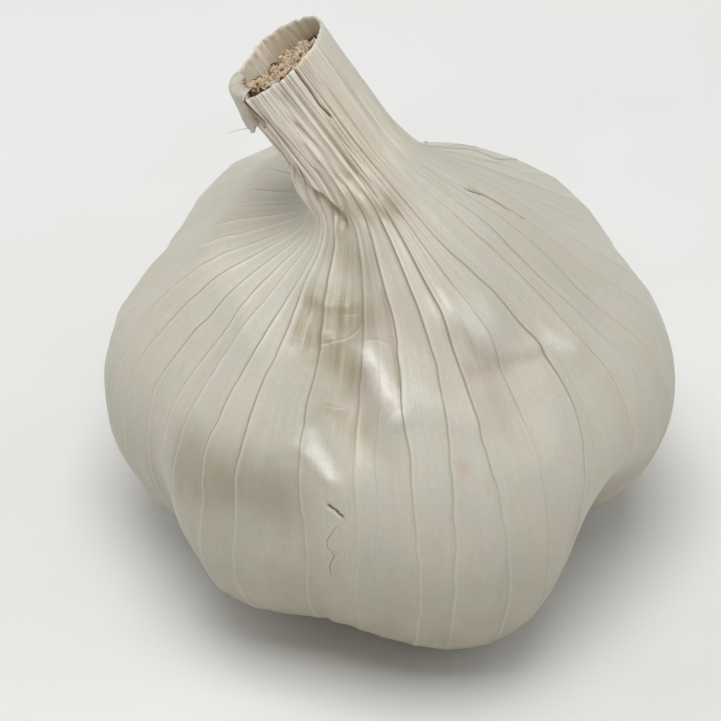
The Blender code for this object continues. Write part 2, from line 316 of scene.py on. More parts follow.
def settle(piece: bpy.types.Object) -> None:
    """Turns what a piece's modifiers make into its plain mesh, and removes them.

    Args:
        piece: the object with the modifiers.
    """
    graph = bpy.context.evaluated_depsgraph_get()
    made = bpy.data.meshes.new_from_object(
        piece.evaluated_get(graph), preserve_all_data_layers=True, depsgraph=graph
    )
    piece.modifiers.clear()
    piece.data = made
    made.name = piece.name


def grow(piece: bpy.types.Object, tree: Any, values: dict[str, Any]) -> None:
    """Runs a geometry tree on a piece and keeps the result as its mesh.

    Args:
        piece: the object that gets the tree.
        tree: the geometry node tree.
        values: the tree's inputs by name.
    """
    modifier = piece.modifiers.new("growth", "NODES")
    modifier.node_group = tree
    for item in tree.interface.items_tree:
        if item.item_type == "SOCKET" and item.in_out == "INPUT" and item.name in values:
            modifier[item.identifier] = values[item.name]
    settle(piece)


def join_pieces(piece: bpy.types.Object, extra: bpy.types.Object) -> None:
    """Adds another object's shape to a piece, and removes that object.

    Args:
        piece: the piece that gets it, of one material.
        extra: the object whose evaluated mesh is added.
    """
    graph = bpy.context.evaluated_depsgraph_get()
    whole = bmesh.new()
    whole.from_mesh(piece.data)
    added = bpy.data.meshes.new_from_object(extra.evaluated_get(graph), depsgraph=graph)
    added.shade_smooth()
    whole.from_mesh(added)
    whole.to_mesh(piece.data)
    whole.free()
    bpy.data.objects.remove(extra)


def wear(piece: bpy.types.Object, finish: bpy.types.Material) -> None:
    """Gives a piece one material."""
    piece.data.materials.clear()
    piece.data.materials.append(finish)


def hand_over(piece: bpy.types.Object, slot: Slot, *nodes: str) -> bpy.types.Object:
    """Fixes a finished piece to the part.

    Args:
        piece: the finished object.
        slot: the material slot it takes its finish from; not used.
        nodes: the part's nodes that it stands for.

    Returns:
        The piece.
    """
    if nodes:
        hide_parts(*nodes)
    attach(piece, BODY)
    piece.data.calc_loop_triangles()
    LOG.info("%s: %d triangles", piece.name, len(piece.data.loop_triangles))
    return piece


# The bulb's shape, which every piece follows.


@dataclass(frozen=True)
class Clove:
    """One outer clove: where it begins, the crease there, its swell, and how far it is raised (mm)."""

    low_azimuth: float
    high_azimuth: float
    low_depth: float
    high_depth: float
    swell: float
    lift: float


@dataclass(frozen=True)
class BulbShape:
    """The outline, cloves and lean that the part's solids have, so that the looks lie right on them."""

    # Radius, height, groove depth and rib height in millimetres, from the root plate to the rim.
    outline: tuple = (
        (8.0, 2.7, 0.5, 0.10),
        (11.8, 1.6, 1.5, 0.13),
        (18.8, 2.3, 3.0, 0.18),
        (26.9, 7.8, 4.1, 0.24),
        (30.6, 18.4, 3.9, 0.26),
        (28.4, 29.2, 3.2, 0.24),
        (20.9, 37.0, 2.4, 0.20),
        (13.6, 42.3, 1.3, 0.22),
        (7.8, 46.5, 0.5, 0.38),
        (6.0, 50.5, 0.0, 0.42),
        (5.9, 56.6, 0.0, 0.34),
        (6.1, 63.7, 0.0, 0.18),
    )
    cloves: tuple[Clove, ...] = (
        Clove(-104, -110, 0.48, 0.85, 0.29, -0.9),
        Clove(-33, -37, 1.45, 0.25, 0.02, 2.6),
        Clove(22, 24, 0.60, 0.50, 0.03, -0.2),
        Clove(87, 84, 0.50, 0.45, 0.40, 0.8),
        Clove(152, 150, 0.90, 0.60, -0.08, -0.3),
        Clove(212, 209, 0.95, 0.75, -0.04, 0.8),
    )
    # Azimuth, height, half width and depth in millimetres.
    hollows: tuple = (
        (-99, 36.5, 6.0, 1.0),
        (-57, 34.5, 5.0, 1.1),
        (-14, 35.0, 5.5, 0.7),
        (54, 36.0, 6.0, 0.8),
        (118, 35.0, 6.0, 1.0),
        (170, 33.0, 7.0, 1.1),
    )
    crease_sharpness: float = 0.6
    crease_rounding: float = 0.16
    lean: float = math.radians(38.5)
    lean_azimuth: float = math.radians(157)
    bend_from: float = 37.5 * MM
    bend_to: float = 50.5 * MM
    wall: float = 0.75 * MM
    mouth_height: float = 63.7 * MM
    mouth_depth: float = 3.6 * MM
    cut_tilt: float = 0.95 * MM
    scrap_from: float = math.radians(126)
    scrap_to: float = math.radians(229)
    bed: float = 0.8 * MM
    front_rise: float = 1.0 * MM
    rise_azimuth: float = math.radians(-68)
    recess_height: float = 3.6 * MM
    recess_radius: float = 7.3 * MM
    # By height (mm), from a crease's low azimuth and depth to its high ones.
    crease_turn: Fade = Fade(14, 27)
    # The height where a clove's lift ends, and by radius, where it begins.
    lift_top: float = 30 * MM
    lift_foot: Fade = Fade(8 * MM, 20 * MM)
    # By position: the neck thinned under the scrap, cut at a tilt, and raised in front.
    bedded: Fade = Fade(9.1, 9.9)
    tilted: Fade = Fade(10.0, 11.0)
    raised: Fade = Fade(9.6, 11.0)
    bed_edge: float = math.radians(10)
    arc_steps: int = 600
    bend_steps: int = 200
    normal_step: float = 0.01

    @property
    def last(self) -> int:
        """The outline's last position, at the rim."""
        return len(self.outline) - 1

    @property
    def mouth_floor(self) -> float:
        """Height of the mouth's floor before the neck is leant."""
        return self.mouth_height - self.mouth_depth

    def stations(self, position: np.ndarray) -> np.ndarray:
        """The outline's values at positions, on a smooth curve through its points.

        Args:
            position: outline positions.

        Returns:
            Radius, height, groove and rib in millimetres, along a new last axis.
        """
        knots = np.array(self.outline)
        position = np.clip(position, 0, self.last)
        i = np.minimum(position.astype(int), self.last - 1)
        t = (position - i)[..., None]
        p0, p1, p2, p3 = (knots[np.clip(i + k, 0, self.last)] for k in (-1, 0, 1, 2))
        bent = (2 * p0 - 5 * p1 + 4 * p2 - p3) * t**2 + (3 * p1 - p0 - 3 * p2 + p3) * t**3
        return 0.5 * (2 * p1 + (p2 - p0) * t + bent)

    def arc(self, position: np.ndarray) -> np.ndarray:
        """Length along the outline.

        Args:
            position: outline positions.

        Returns:
            The length up to each position, in metres.
        """
        steps = np.linspace(0, self.last, self.arc_steps)
        way = self.stations(steps)[:, :2] * MM
        length = np.r_[0, np.cumsum(np.hypot(*np.diff(way, axis=0).T))]
        return np.interp(position, steps, length)

    def normals(self, position: np.ndarray) -> tuple[np.ndarray, np.ndarray]:
        """The outline's outward direction.

        Args:
            position: outline positions.

        Returns:
            The direction's share along the radius, and its share upwards.
        """
        along = self.stations(position + self.normal_step) - self.stations(position - self.normal_step)
        length = np.hypot(along[..., 0], along[..., 1])
        return along[..., 1] / length, -along[..., 0] / length

    def creases(self, azimuth: np.ndarray, height: np.ndarray) -> tuple[np.ndarray, ...]:
        """How the cloves show at places on the outline.

        Args:
            azimuth: in radians.
            height: height on the outline, in metres.

        Returns:
            How far into a crease a place is, the crease's depth there, and its clove's swell and lift.
        """
        shoulder = self.crease_turn.at(height / MM)
        starts = np.stack([c.low_azimuth + (c.high_azimuth - c.low_azimuth) * shoulder for c in self.cloves])
        degrees = (np.degrees(azimuth) - starts[0]) % 360 + starts[0]
        clove = np.clip((degrees >= starts).sum(0) - 1, 0, len(self.cloves) - 1)
        following = (clove + 1) % len(self.cloves)
        start = np.take_along_axis(starts, clove[None], 0)[0]
        end = np.take_along_axis(starts, following[None], 0)[0] + np.where(following == 0, 360, 0)
        share = (degrees - start) / (end - start)
        side = np.abs(2 * share - 1)
        beyond = np.maximum(side - 1 + self.crease_rounding, 0.0)
        bridged = np.minimum(side, 1 - self.crease_rounding)
        sharp = bridged**2 + bridged * beyond * (2 - beyond / self.crease_rounding)
        rounded = 0.5 * (1 - np.cos(math.pi * side))
        crease = self.crease_sharpness * sharp + (1 - self.crease_sharpness) * rounded
        low = np.array([c.low_depth for c in self.cloves])
        high = np.array([c.high_depth for c in self.cloves])
        over = smooth_step(share, 0.0, 1.0)
        low = low[clove] + (low[following] - low[clove]) * over
        high = high[clove] + (high[following] - high[clove]) * over
        swell = np.array([c.swell for c in self.cloves])[clove]
        lift = np.array([c.lift for c in self.cloves])[clove] * MM
        return crease, low + (high - low) * shoulder, swell, lift

    def place(self, position: np.ndarray, azimuth: np.ndarray, above: np.ndarray) -> np.ndarray:
        """Places on the skin before the neck is leant.

        Args:
            position: outline positions.
            azimuth: in radians, of the same shape.
            above: how far off the skin, in metres.

        Returns:
            Points, along a new last axis.
        """
        radius, height, groove, _ = np.moveaxis(self.stations(position) * MM, -1, 0)
        out, up = self.normals(position)
        crease, depth, swell, lift = self.creases(azimuth, height)
        offset = groove * (swell * (1 - crease) - depth * crease) + above
        for centre, middle, half_width, deepest in self.hollows:
            turn = (azimuth - math.radians(centre) + math.pi) % TAU - math.pi
            distance = np.hypot(turn * radius, height - middle * MM) / (half_width * MM)
            offset = offset - deepest * MM * (1 - smooth_step(distance, 0.0, 1.0))
        offset = offset - self.bed_depth(azimuth) * self.bedded.at(position)
        lift = lift * (1 - crease) * np.maximum(1 - height / self.lift_top, 0) * self.lift_foot.at(radius)
        tilt = self.cut_tilt * np.sin(azimuth) * self.tilted.at(position)
        tilt = tilt + self.rim_rise(azimuth) * self.raised.at(position)
        radius = radius + offset * out
        height = height + offset * up + lift + tilt
        return np.stack([radius * np.cos(azimuth), radius * np.sin(azimuth), height], -1)

    def rim_rise(self, azimuth: Any) -> Any:
        """How much further up the neck the skin goes at an azimuth: most of all in front."""
        return self.front_rise * (0.5 + 0.5 * np.cos(azimuth - self.rise_azimuth))

    def bed_depth(self, azimuth: Any) -> Any:
        """How much thinner the neck is, to take the scrap of leaf.

        Args:
            azimuth: in radians.

        Returns:
            The depth, in metres.
        """
        turn = azimuth % TAU
        share = smooth_step(turn, self.scrap_from - self.bed_edge, self.scrap_from)
        return self.bed * share * (1 - smooth_step(turn, self.scrap_to, self.scrap_to + self.bed_edge))

    def bend(self, points: np.ndarray) -> np.ndarray:
        """Leans what is above the shoulders over, along an arc that starts and ends gently.

        Args:
            points: places of the upright bulb, along the last axis.

        Returns:
            The same places on the leaning one.
        """
        direction = np.array([math.cos(self.lean_azimuth), math.sin(self.lean_azimuth)])
        heights = np.linspace(self.bend_from, self.bend_to, self.bend_steps)
        step = heights[1] - heights[0]
        turned = self.lean * smooth_step(heights[:-1] + step / 2, self.bend_from, self.bend_to)
        outs = np.r_[0, np.cumsum(np.sin(turned)) * step]
        ups = heights[0] + np.r_[0, np.cumsum(np.cos(turned)) * step]
        height = points[..., 2]
        along = points[..., :2] @ direction
        aside = points[..., :2] - along[..., None] * direction
        angle = self.lean * smooth_step(height, self.bend_from, self.bend_to)
        beyond = np.maximum(height - self.bend_to, 0)
        out = np.interp(height, heights, outs) + beyond * np.sin(angle) + along * np.cos(angle)
        up = np.interp(height, heights, ups) + beyond * np.cos(angle) - along * np.sin(angle)
        up = np.where(height < self.bend_from, height, up)
        return np.concatenate([out[..., None] * direction + aside, up[..., None]], -1)


# Finishes. Each is a real material, with its patterns' scales from real sizes in millimetres.


@dataclass(frozen=True)
class Layer:
    """A colour that shows in patches or streaks of a real size (mm).

    It begins to show where its noise passes `low`, and shows by `most` from `high` on.
    """

    colour: str
    size: float
    low: float
    high: float
    most: float
    lie: Lie = Lie.PIECE


@dataclass(frozen=True)
class Stain:
    """A colour where one of the piece's fields has it, broken up by a noise of a real size (mm)."""

    field: str
    colour: str
    most: float
    size: float = 0.9
    lie: Lie = Lie.PIECE
    # Where the noise begins and ends, and the share that shows where it begins.
    low: float = 0.3
    high: float = 0.7
    least: float = 0.4


@dataclass(frozen=True)
class Line:
    """A thin crisp line drawn beside a place where the field `across` is 0, as strong as `strength` says."""

    across: str
    strength: str
    colour: str
    offset: float
    half_width: float
    most: float


@dataclass(frozen=True)
class Grain:
    """Bumps too fine for the mesh, of a real size and height (mm)."""

    size: float
    height: float
    strength: float
    lie: Lie = Lie.PIECE


@dataclass(frozen=True)
class Finish:
    """What all finishes share: layers of colour, stains, thin lines and grain on one shader."""

    name: str
    colour: str
    roughness: float
    roughness_spread: float = 0.0
    # The size of the bands in which the gloss differs (mm).
    gloss_size: float = 2.6
    layers: tuple[Layer, ...] = ()
    stains: tuple[Stain, ...] = ()
    lines: tuple[Line, ...] = ()
    grains: tuple[Grain, ...] = ()
    # How much light goes into the surface and comes out again nearby, and how far (mm).
    glow: float = 0.0
    glow_reach: tuple[float, float, float] = (1.4, 1.1, 0.8)

    def material(self) -> bpy.types.Material:
        """Makes the finish's material.

        Returns:
            A Principled material with all that the finish lists.
        """
        made = bpy.data.materials.new(self.name)
        made.use_nodes = True
        tree = made.node_tree
        shader = tree.nodes["Principled BSDF"]
        colour = self.paint(tree)
        if isinstance(colour, bpy.types.NodeSocket):
            tree.links.new(colour, shader.inputs["Base Color"])
        else:
            shader.inputs["Base Color"].default_value = colour
        shader.inputs["Roughness"].default_value = self.roughness
        if self.roughness_spread:
            self.vary_gloss(tree, shader)
        if self.glow:
            shader.inputs["Subsurface Weight"].default_value = self.glow
            shader.inputs["Subsurface Radius"].default_value = self.glow_reach
            shader.inputs["Subsurface Scale"].default_value = MM
        self.raise_grain(tree, shader)
        return made

    def coordinates(self, tree: Any, lie: Lie) -> Any:
        """Where a pattern lies.

        Args:
            tree: the material's node tree.
            lie: what the pattern follows.

        Returns:
            The socket of the places, in millimetres.
        """
        if lie is Lie.FIBRES:
            return add_node(tree, ATTRIBUTE, {"attribute_name": "strand"}).outputs["Vector"]
        place = add_node(tree, "ShaderNodeTexCoord").outputs["Object"]
        return add_node(tree, VECTOR_MATH, SCALED, {0: place, "Scale": 1 / MM}).outputs[0]

    def paint(self, tree: Any) -> Any:
        """Lays the layers, the stains and the thin lines over the finish's first colour.

        Args:
            tree: the material's node tree.

        Returns:
            The colour, as an output socket, or as a value where nothing is laid over it.
        """
        node = partial(add_node, tree)
        shares = []
        for seed, layer in enumerate(self.layers):
            inputs = {"Vector": self.coordinates(tree, layer.lie), "W": seed, "Scale": 1 / layer.size}
            noise = node(NOISE, SEEDED, inputs)
            ends = {"From Min": layer.low, "From Max": layer.high, "To Max": layer.most}
            shares.append(node(MAP_RANGE, SMOOTH, {"Value": noise, **ends}))
        for seed, stain in enumerate(self.stains):
            field = node(ATTRIBUTE, {"attribute_name": stain.field}).outputs["Fac"]
            place = self.coordinates(tree, stain.lie)
            noise = node(NOISE, SEEDED, {"Vector": place, "W": STAIN_SEED + seed, "Scale": 1 / stain.size})
            ends = {"From Min": stain.low, "From Max": stain.high}
            shown = {"To Min": stain.least * stain.most, "To Max": stain.most}
            broken = node(MAP_RANGE, {}, {"Value": noise, **ends, **shown})
            shares.append(node(MATH, CLAMPED, {0: field, 1: broken}))
        for line in self.lines:
            across = node(ATTRIBUTE, {"attribute_name": line.across}).outputs["Fac"]
            strength = node(ATTRIBUTE, {"attribute_name": line.strength}).outputs["Fac"]
            away = node(MATH, {"operation": "ABSOLUTE"}, {0: node(MATH, MINUS, {0: across, 1: line.offset})})
            fade = {"From Max": line.half_width, "To Min": line.most, "To Max": 0.0}
            near = node(MAP_RANGE, SMOOTH, {"Value": away, **fade})
            shares.append(node(MATH, CLAMPED, {0: near, 1: strength}))
        colour = linear(self.colour)
        for pattern, share in zip((*self.layers, *self.stains, *self.lines), shares):
            colour = node(MIX, COLOURS, {0: share, 6: colour, 7: linear(pattern.colour)}).outputs[2]
        return colour

    def vary_gloss(self, tree: Any, shader: Any) -> None:
        """Lets the roughness differ in broad bands along the fibres.

        Args:
            tree: the material's node tree.
            shader: its shader node.
        """
        inputs = {"Vector": self.coordinates(tree, Lie.FIBRES), "W": GLOSS_SEED, "Scale": 1 / self.gloss_size}
        noise = add_node(tree, NOISE, SEEDED, inputs)
        least, most = self.roughness - self.roughness_spread, self.roughness + self.roughness_spread
        inputs = {"Value": noise, **NOISE_RANGE, "To Min": least, "To Max": most}
        rough = add_node(tree, MAP_RANGE, {}, inputs)
        tree.links.new(rough.outputs[0], shader.inputs["Roughness"])

    def raise_grain(self, tree: Any, shader: Any) -> None:
        """Adds the grain to the shader's normal.

        Args:
            tree: the material's node tree.
            shader: its shader node.
        """
        below = {}
        for seed, grain in enumerate(self.grains):
            place = self.coordinates(tree, grain.lie)
            inputs = {"Vector": place, "W": GRAIN_SEED + seed, "Scale": 1 / grain.size}
            noise = add_node(tree, NOISE, SEEDED, inputs)
            relief = {"Height": noise, "Distance": grain.height * MM, "Strength": grain.strength}
            bump = add_node(tree, "ShaderNodeBump", {}, {**relief, **below})
            below = {"Normal": bump}
            tree.links.new(bump.outputs[0], shader.inputs["Normal"])


@dataclass(frozen=True)
class PaperySkin(Finish):
    """Dry outer leaf of a garlic bulb, shrunk on as it cured: a thin, satin, slightly translucent paper.

    Long fibres run from root to neck and show as faint streaks. Light passes into it a little, so
    its shading is soft, and its folds catch broad satin highlights. Each vein has a brown line along
    one side, partly painted shade of a groove, and a pale ridge with a painted highlight along the
    other. Its colour also holds painted light: highlights on some folds, a lighter neck, and shade in
    its hollows, its valley, its furrows, its mouth and towards its foot.
    """

    name: str = "papery_skin_dry_leaf"
    colour: str = "D3CFBE"
    roughness: float = 0.37
    roughness_spread: float = 0.07
    layers: tuple[Layer, ...] = (
        Layer("CDCEC2", 7.5, 0.42, 0.62, 0.55),
        Layer("D9CCC0", 4.5, 0.45, 0.68, 0.6),
        Layer("C3BCA8", 2.6, 0.40, 0.75, 0.26, Lie.FIBRES),
        Layer("BFB49A", 0.42, 0.50, 0.80, 0.24, Lie.FIBRES),
        Layer("E4E0D4", 0.60, 0.52, 0.78, 0.24, Lie.FIBRES),
        Layer("C4B9A0", 0.90, 0.56, 0.80, 0.22),
        Layer("E6E3D9", 0.38, 0.52, 0.72, 0.22),
    )
    stains: tuple[Stain, ...] = (
        # Painted shade: the skin darker towards the foot and low on the front left.
        Stain("dusk", "8F8469", 1.0, 3.0, Lie.PIECE, 0.3, 0.7, 0.75),
        # Tan: painted shade in the valley, the hollows, the gathers, along the neck's left side and inside
        # the mouth.
        Stain("tan", "9F8D6E", 1.2, 0.9, Lie.FIBRES, 0.3, 0.7, 0.5),
        # Painted highlight: paler where the skin's folds and swellings catch the light.
        Stain("taut", "F0EEE7", 1.0, 0.7, Lie.PIECE, 0.3, 0.6, 0.3),
        # Painted light: the pleated neck painted much lighter, standing in for light on its near side.
        Stain("pleated", "FAEFE0", 1.0, 6.0, Lie.FIBRES, 0.3, 0.7, 0.85),
        Stain("blush", "D4A39B", 1.3, 0.8),
        # Furrow: painted shade deep in the neck's pleats, in its gathered furrows and inside the mouth.
        Stain("furrow", "A69473", 0.9, 0.6, Lie.FIBRES),
        Stain("pleated", "C4AF96", 0.50, 2.4, Lie.FIBRES, 0.50, 0.62, 0.0),
        Stain("pleated", "F6EFE2", 0.7, 2.9, Lie.FIBRES, 0.54, 0.66, 0.0),
        Stain("pleated", "9C8362", 0.70, 1.3, Lie.FIBRES, 0.57, 0.65, 0.0),
        Stain("pleated", "FAF4E8", 0.85, 1.6, Lie.FIBRES, 0.55, 0.63, 0.0),
        Stain("pleated", "93795B", 0.60, 0.8, Lie.FIBRES, 0.56, 0.63, 0.0),
        Stain("scorch", "8C5A2A", 1.0, 0.5, Lie.FIBRES),
    )
    lines: tuple[Line, ...] = (
        # Along each vein: a brown line, partly painted shade of the groove beside it, and a pale line of
        # painted highlight on its ridge.
        Line("vein_gap", "vein_shade", "87745A", -0.10, 0.19, 0.74),
        Line("vein_gap", "vein_strength", "E2DED2", 0.14, 0.24, 0.40),
        # Along the marks: a brown line, a dark line of painted shade in the split, and a pale line of painted
        # highlight on its lip.
        Line("mark_across", "mark_warm", "A5713C", 0.0, 1.9, 0.85),
        Line("mark_across", "mark_dark", "54452C", 0.0, 1.3, 1.0),
        Line("mark_across", "mark_lip", "EAE6DC", 2.3, 1.2, 0.8),
    )
    grains: tuple[Grain, ...] = (
        Grain(0.42, 0.05, 0.55, Lie.FIBRES),
        Grain(0.24, 0.035, 0.6),
        Grain(1.1, 0.09, 0.5),
    )
    glow: float = 0.2


@dataclass(frozen=True)
class DriedSheath(Finish):
    """Leaf sheaths that dried inside the neck and were cut across: matt, crumpled, pinkish tan.

    Their cut edges are pale; the gaps between them, the holes and the gap at the rim are painted dark brown
    as shade.
    """

    name: str = "dried_leaf_sheaths_cut"
    colour: str = "DCC9AC"
    roughness: float = 0.78
    layers: tuple[Layer, ...] = (
        Layer("E2CBB5", 1.6, 0.42, 0.60, 0.9),
        Layer("C0A67C", 0.8, 0.50, 0.70, 0.6),
        Layer("A58B60", 0.25, 0.52, 0.74, 0.5),
        # Small dark brown spots that stand for pits: painted shade.
        Layer("5E4016", 1.1, 0.61, 0.66, 0.92),
    )
    stains: tuple[Stain, ...] = (
        # Painted shade: dark brown deep in the gaps between the sheaths, in the holes and in the gap at the
        # rim.
        Stain("deep", "8A7048", 0.75, 0.6),
        Stain("hole", "69481B", 1.0, 0.5, Lie.PIECE, 0.3, 0.7, 0.75),
    )
    grains: tuple[Grain, ...] = (Grain(0.3, 0.10, 0.7),)


@dataclass(frozen=True)
class TornLeaf(Finish):
    """The same leaf as the skin where it tore: a little greyer, with an edge that browned as it dried."""

    name: str = "torn_dry_leaf"
    colour: str = "D3CDBE"
    roughness: float = 0.55
    layers: tuple[Layer, ...] = (
        Layer("C6C2B0", 1.5, 0.40, 0.62, 0.8),
        Layer("D8CABE", 1.1, 0.48, 0.68, 0.7),
        Layer("B5A88C", 0.30, 0.50, 0.75, 0.35),
    )
    stains: tuple[Stain, ...] = (
        Stain("edge", "80501F", 0.95, 0.7, Lie.PIECE, 0.3, 0.7, 0.8),
        Stain("shade", "A89B80", 0.8, 1.0),
    )
    grains: tuple[Grain, ...] = (Grain(0.35, 0.06, 0.6),)
    glow: float = 0.08


@dataclass(frozen=True)
class CorkyBase(Finish):
    """The hard corky disc under the bulb, trimmed with a knife: matt brown, cracked, with dark pores."""

    name: str = "corky_root_plate_trimmed"
    colour: str = "B09670"
    roughness: float = 0.88
    layers: tuple[Layer, ...] = (
        Layer("7C5D38", 2.5, 0.40, 0.62, 0.9),
        Layer("8E7048", 0.9, 0.45, 0.65, 0.6),
        Layer("46301A", 0.5, 0.54, 0.70, 0.85),
    )
    grains: tuple[Grain, ...] = (Grain(0.5, 0.20, 0.9), Grain(1.4, 0.25, 0.6))


@dataclass(frozen=True)
class DryRoot(Finish):
    """Roots that dried and were clipped: straw-brown, wrinkled, paler where they were cut."""

    name: str = "dry_clipped_roots"
    colour: str = "BEA87C"
    roughness: float = 0.8
    layers: tuple[Layer, ...] = (
        Layer("8A6B42", 1.8, 0.42, 0.64, 0.9),
        Layer("7A5C36", 0.25, 0.50, 0.74, 0.6),
    )
    stains: tuple[Stain, ...] = (Stain("cut", "DCCBA4", 0.9, 0.4),)
    grains: tuple[Grain, ...] = (Grain(0.25, 0.10, 0.8),)


@dataclass(frozen=True)
class MattBoard(Finish):
    """Matt white card, the photographer's table: a pale, even surface with a faint tooth."""

    name: str = "matt_white_card"
    colour: str = "F3F3F1"
    roughness: float = 0.9
    layers: tuple[Layer, ...] = (Layer("EDEDEA", 30.0, 0.40, 0.70, 0.6),)
    grains: tuple[Grain, ...] = (Grain(0.8, 0.05, 0.1),)


# Geometry trees.


def new_tree(name: str, values: dict[str, Any]) -> tuple[Any, Any, Any]:
    """A geometry tree with named inputs.

    Args:
        name: the tree's name.
        values: what its inputs will take, by their names: numbers or a material.

    Returns:
        The tree, the sockets of its inputs by name, and its output node.
    """
    tree = bpy.data.node_groups.new(name, "GeometryNodeTree")
    tree.interface.new_socket(name="Geometry", in_out="INPUT", socket_type="NodeSocketGeometry")
    kinds = ((int, "NodeSocketInt"), (float, "NodeSocketFloat"), (bpy.types.Material, "NodeSocketMaterial"))
    for input_name, value in values.items():
        socket_type = next(socket for kind, socket in kinds if isinstance(value, kind))
        tree.interface.new_socket(name=input_name, in_out="INPUT", socket_type=socket_type)
    tree.interface.new_socket(name="Geometry", in_out="OUTPUT", socket_type="NodeSocketGeometry")
    given = tree.nodes.new("NodeGroupInput")
    return tree, given.outputs, tree.nodes.new("NodeGroupOutput")


def end_tree(tree: Any, result: Any, geometry: Any, finish: Any) -> None:
    """Ends a geometry tree: its instances made real, and its material set.

    Args:
        tree: the geometry tree.
        result: its output node.
        geometry: the node whose geometry comes out.
        finish: the material's socket.
    """
    whole = add_node(tree, "GeometryNodeRealizeInstances", {}, {"Geometry": geometry})
    dressed = add_node(tree, "GeometryNodeSetMaterial", {}, {"Geometry": whole, "Material": finish})
    tree.links.new(dressed.outputs[0], result.inputs["Geometry"])


@dataclass(frozen=True)
class SkinRelief:
    """The fine relief of the skin: raised veins with a furrow on one side, fibres and crinkles.

    Widths are in millimetres, as the skin's fields are; heights are in metres, as its mesh is.
    """

    vein_height: float = 0.13 * MM
    vein_half_width: float = 0.42
    furrow_depth: float = 0.11 * MM
    furrow_offset: float = -0.38
    fibre_height: float = 0.07 * MM
    fibre_spacing: float = 1.1
    crinkle_height: float = 0.26 * MM
    crinkle_size: float = 0.7
    seed: float = 4.0

    def values(self, finish: Any) -> dict[str, Any]:
        """The tree's inputs by name."""
        named = {name.replace("_", " ").capitalize(): value for name, value in vars(self).items()}
        return {**named, "Finish": finish}

    def tree(self, values: dict[str, Any]) -> Any:
        """Builds the geometry tree.

        Args:
            values: the tree's inputs, by name.

        Returns:
            A tree that moves a skin's points along their normals by its fields.
        """
        tree, given, result = new_tree("skin_relief", values)
        node = partial(add_node, tree)
        kinds = {"vein_gap": "FLOAT", "vein_strength": "FLOAT", "crinkle": "FLOAT", "strand": "FLOAT_VECTOR"}
        fields = {}
        for name, kind in kinds.items():
            read = node(READ, {"data_type": kind}, {"Name": name})
            fields[name] = read.outputs["Attribute"]

        gap, width, seed = fields["vein_gap"], given["Vein half width"], given["Seed"]
        vein = self.ridge(tree, gap, 0.0, width, given["Vein height"])
        furrow = self.ridge(tree, gap, given["Furrow offset"], width, given["Furrow depth"])
        both = node(MATH, MINUS, {0: vein, 1: furrow})
        veins = node(MATH, TIMES, {0: both, 1: fields["vein_strength"]})
        strand = fields["strand"]
        fibres = self.bumps(tree, strand, given["Fibre spacing"], given["Fibre height"], seed)
        across = node(VECTOR_MATH, TIMES, {0: strand, 1: CRINKLE_STRETCH})
        crinkles = self.bumps(tree, across, given["Crinkle size"], given["Crinkle height"], seed)
        total = node(MATH, {"operation": "MULTIPLY_ADD"}, {0: crinkles, 1: fields["crinkle"], 2: fibres})
        total = node(MATH, {"operation": "ADD"}, {0: total, 1: veins})
        normal = node("GeometryNodeInputNormal")
        offset = node(VECTOR_MATH, SCALED, {0: normal, "Scale": total})
        moved = node(SET_POSITION, {}, {"Geometry": given["Geometry"], "Offset": offset})
        end_tree(tree, result, moved, given["Finish"])
        return tree

    def ridge(self, tree: Any, gap: Any, offset: Any, half_width: Any, height: Any) -> Any:
        """A rounded ridge over a signed distance.

        Args:
            tree: the geometry tree.
            gap: the distance's socket.
            offset: distance at which the ridge is highest.
            half_width: distance over which it falls to nothing.
            height: its height.

        Returns:
            The node that gives the height.
        """
        beside = add_node(tree, MATH, MINUS, {0: gap, 1: offset})
        away = add_node(tree, MATH, {"operation": "ABSOLUTE"}, {0: beside})
        ends = {"Value": away, "From Max": half_width, "To Min": height, "To Max": 0.0}
        return add_node(tree, MAP_RANGE, SMOOTH, ends)

    def bumps(self, tree: Any, vector: Any, size: Any, height: Any, seed: Any) -> Any:
        """Random bumps about 0.

        Args:
            tree: the geometry tree.
            vector: the coordinates.
            size: how far apart the bumps are.
            height: how much they differ in height.
            seed: picks the pattern.

        Returns:
            The node that gives the height.
        """
        scale = add_node(tree, MATH, {"operation": "DIVIDE"}, {0: 1.0, 1: size})
        noise = add_node(tree, NOISE, SEEDED, {"Vector": vector, "W": seed, "Scale": scale, "Detail": 2.0})
        level = add_node(tree, MATH, MINUS, {0: noise, 1: 0.5})
        return add_node(tree, MATH, TIMES, {0: level, 1: height})


# The bulb's sub-assemblies.


@dataclass(frozen=True)
class Vein:
    """A vein of the outer leaf.

    It stands at its azimuth on the shoulder, turns back by `turn` degrees up to the neck's foot, and
    by `low` degrees down to the bulb's waist. Strength 1 is a well raised one.
    """

    azimuth: float
    turn: float
    low: float
    strength: float


@dataclass(frozen=True)
class Feature:
    """A single fold, crease, furrow or swelling of the skin, or a tinted place on it.

    It runs through its points (azimuth in degrees, outline position), with a half width in
    millimetres. Its height is in millimetres, and negative for a furrow; of a tint it is the share.
    """

    points: tuple[tuple[float, float], ...]
    half_width: float
    height: float
    fold: Fold = Fold.SWELL


# Lines that are both folds and tints of painted shade: the gathers at the neck's foot, and a furrow of the
# neck.
GATHERS = ((-160, 9.72), (-137, 9.4), (-124, 9.04), (-116.5, 8.56), (-111.5, 8.3))
NECK_FURROW = ((-93.5, 10.28), (-90, 9.88), (-88.2, 9.52), (-85, 9.1))


@dataclass(frozen=True)
class Mark:
    """A thin split, slit or crack through its points, with how dark (painted shade in it), how brown, and how
    pale-lipped (a painted highlight on its lip) it is.
    """

    points: tuple[tuple[float, float], ...]
    half_width: float
    dark: float
    warm: float
    lip: float
    depth: float


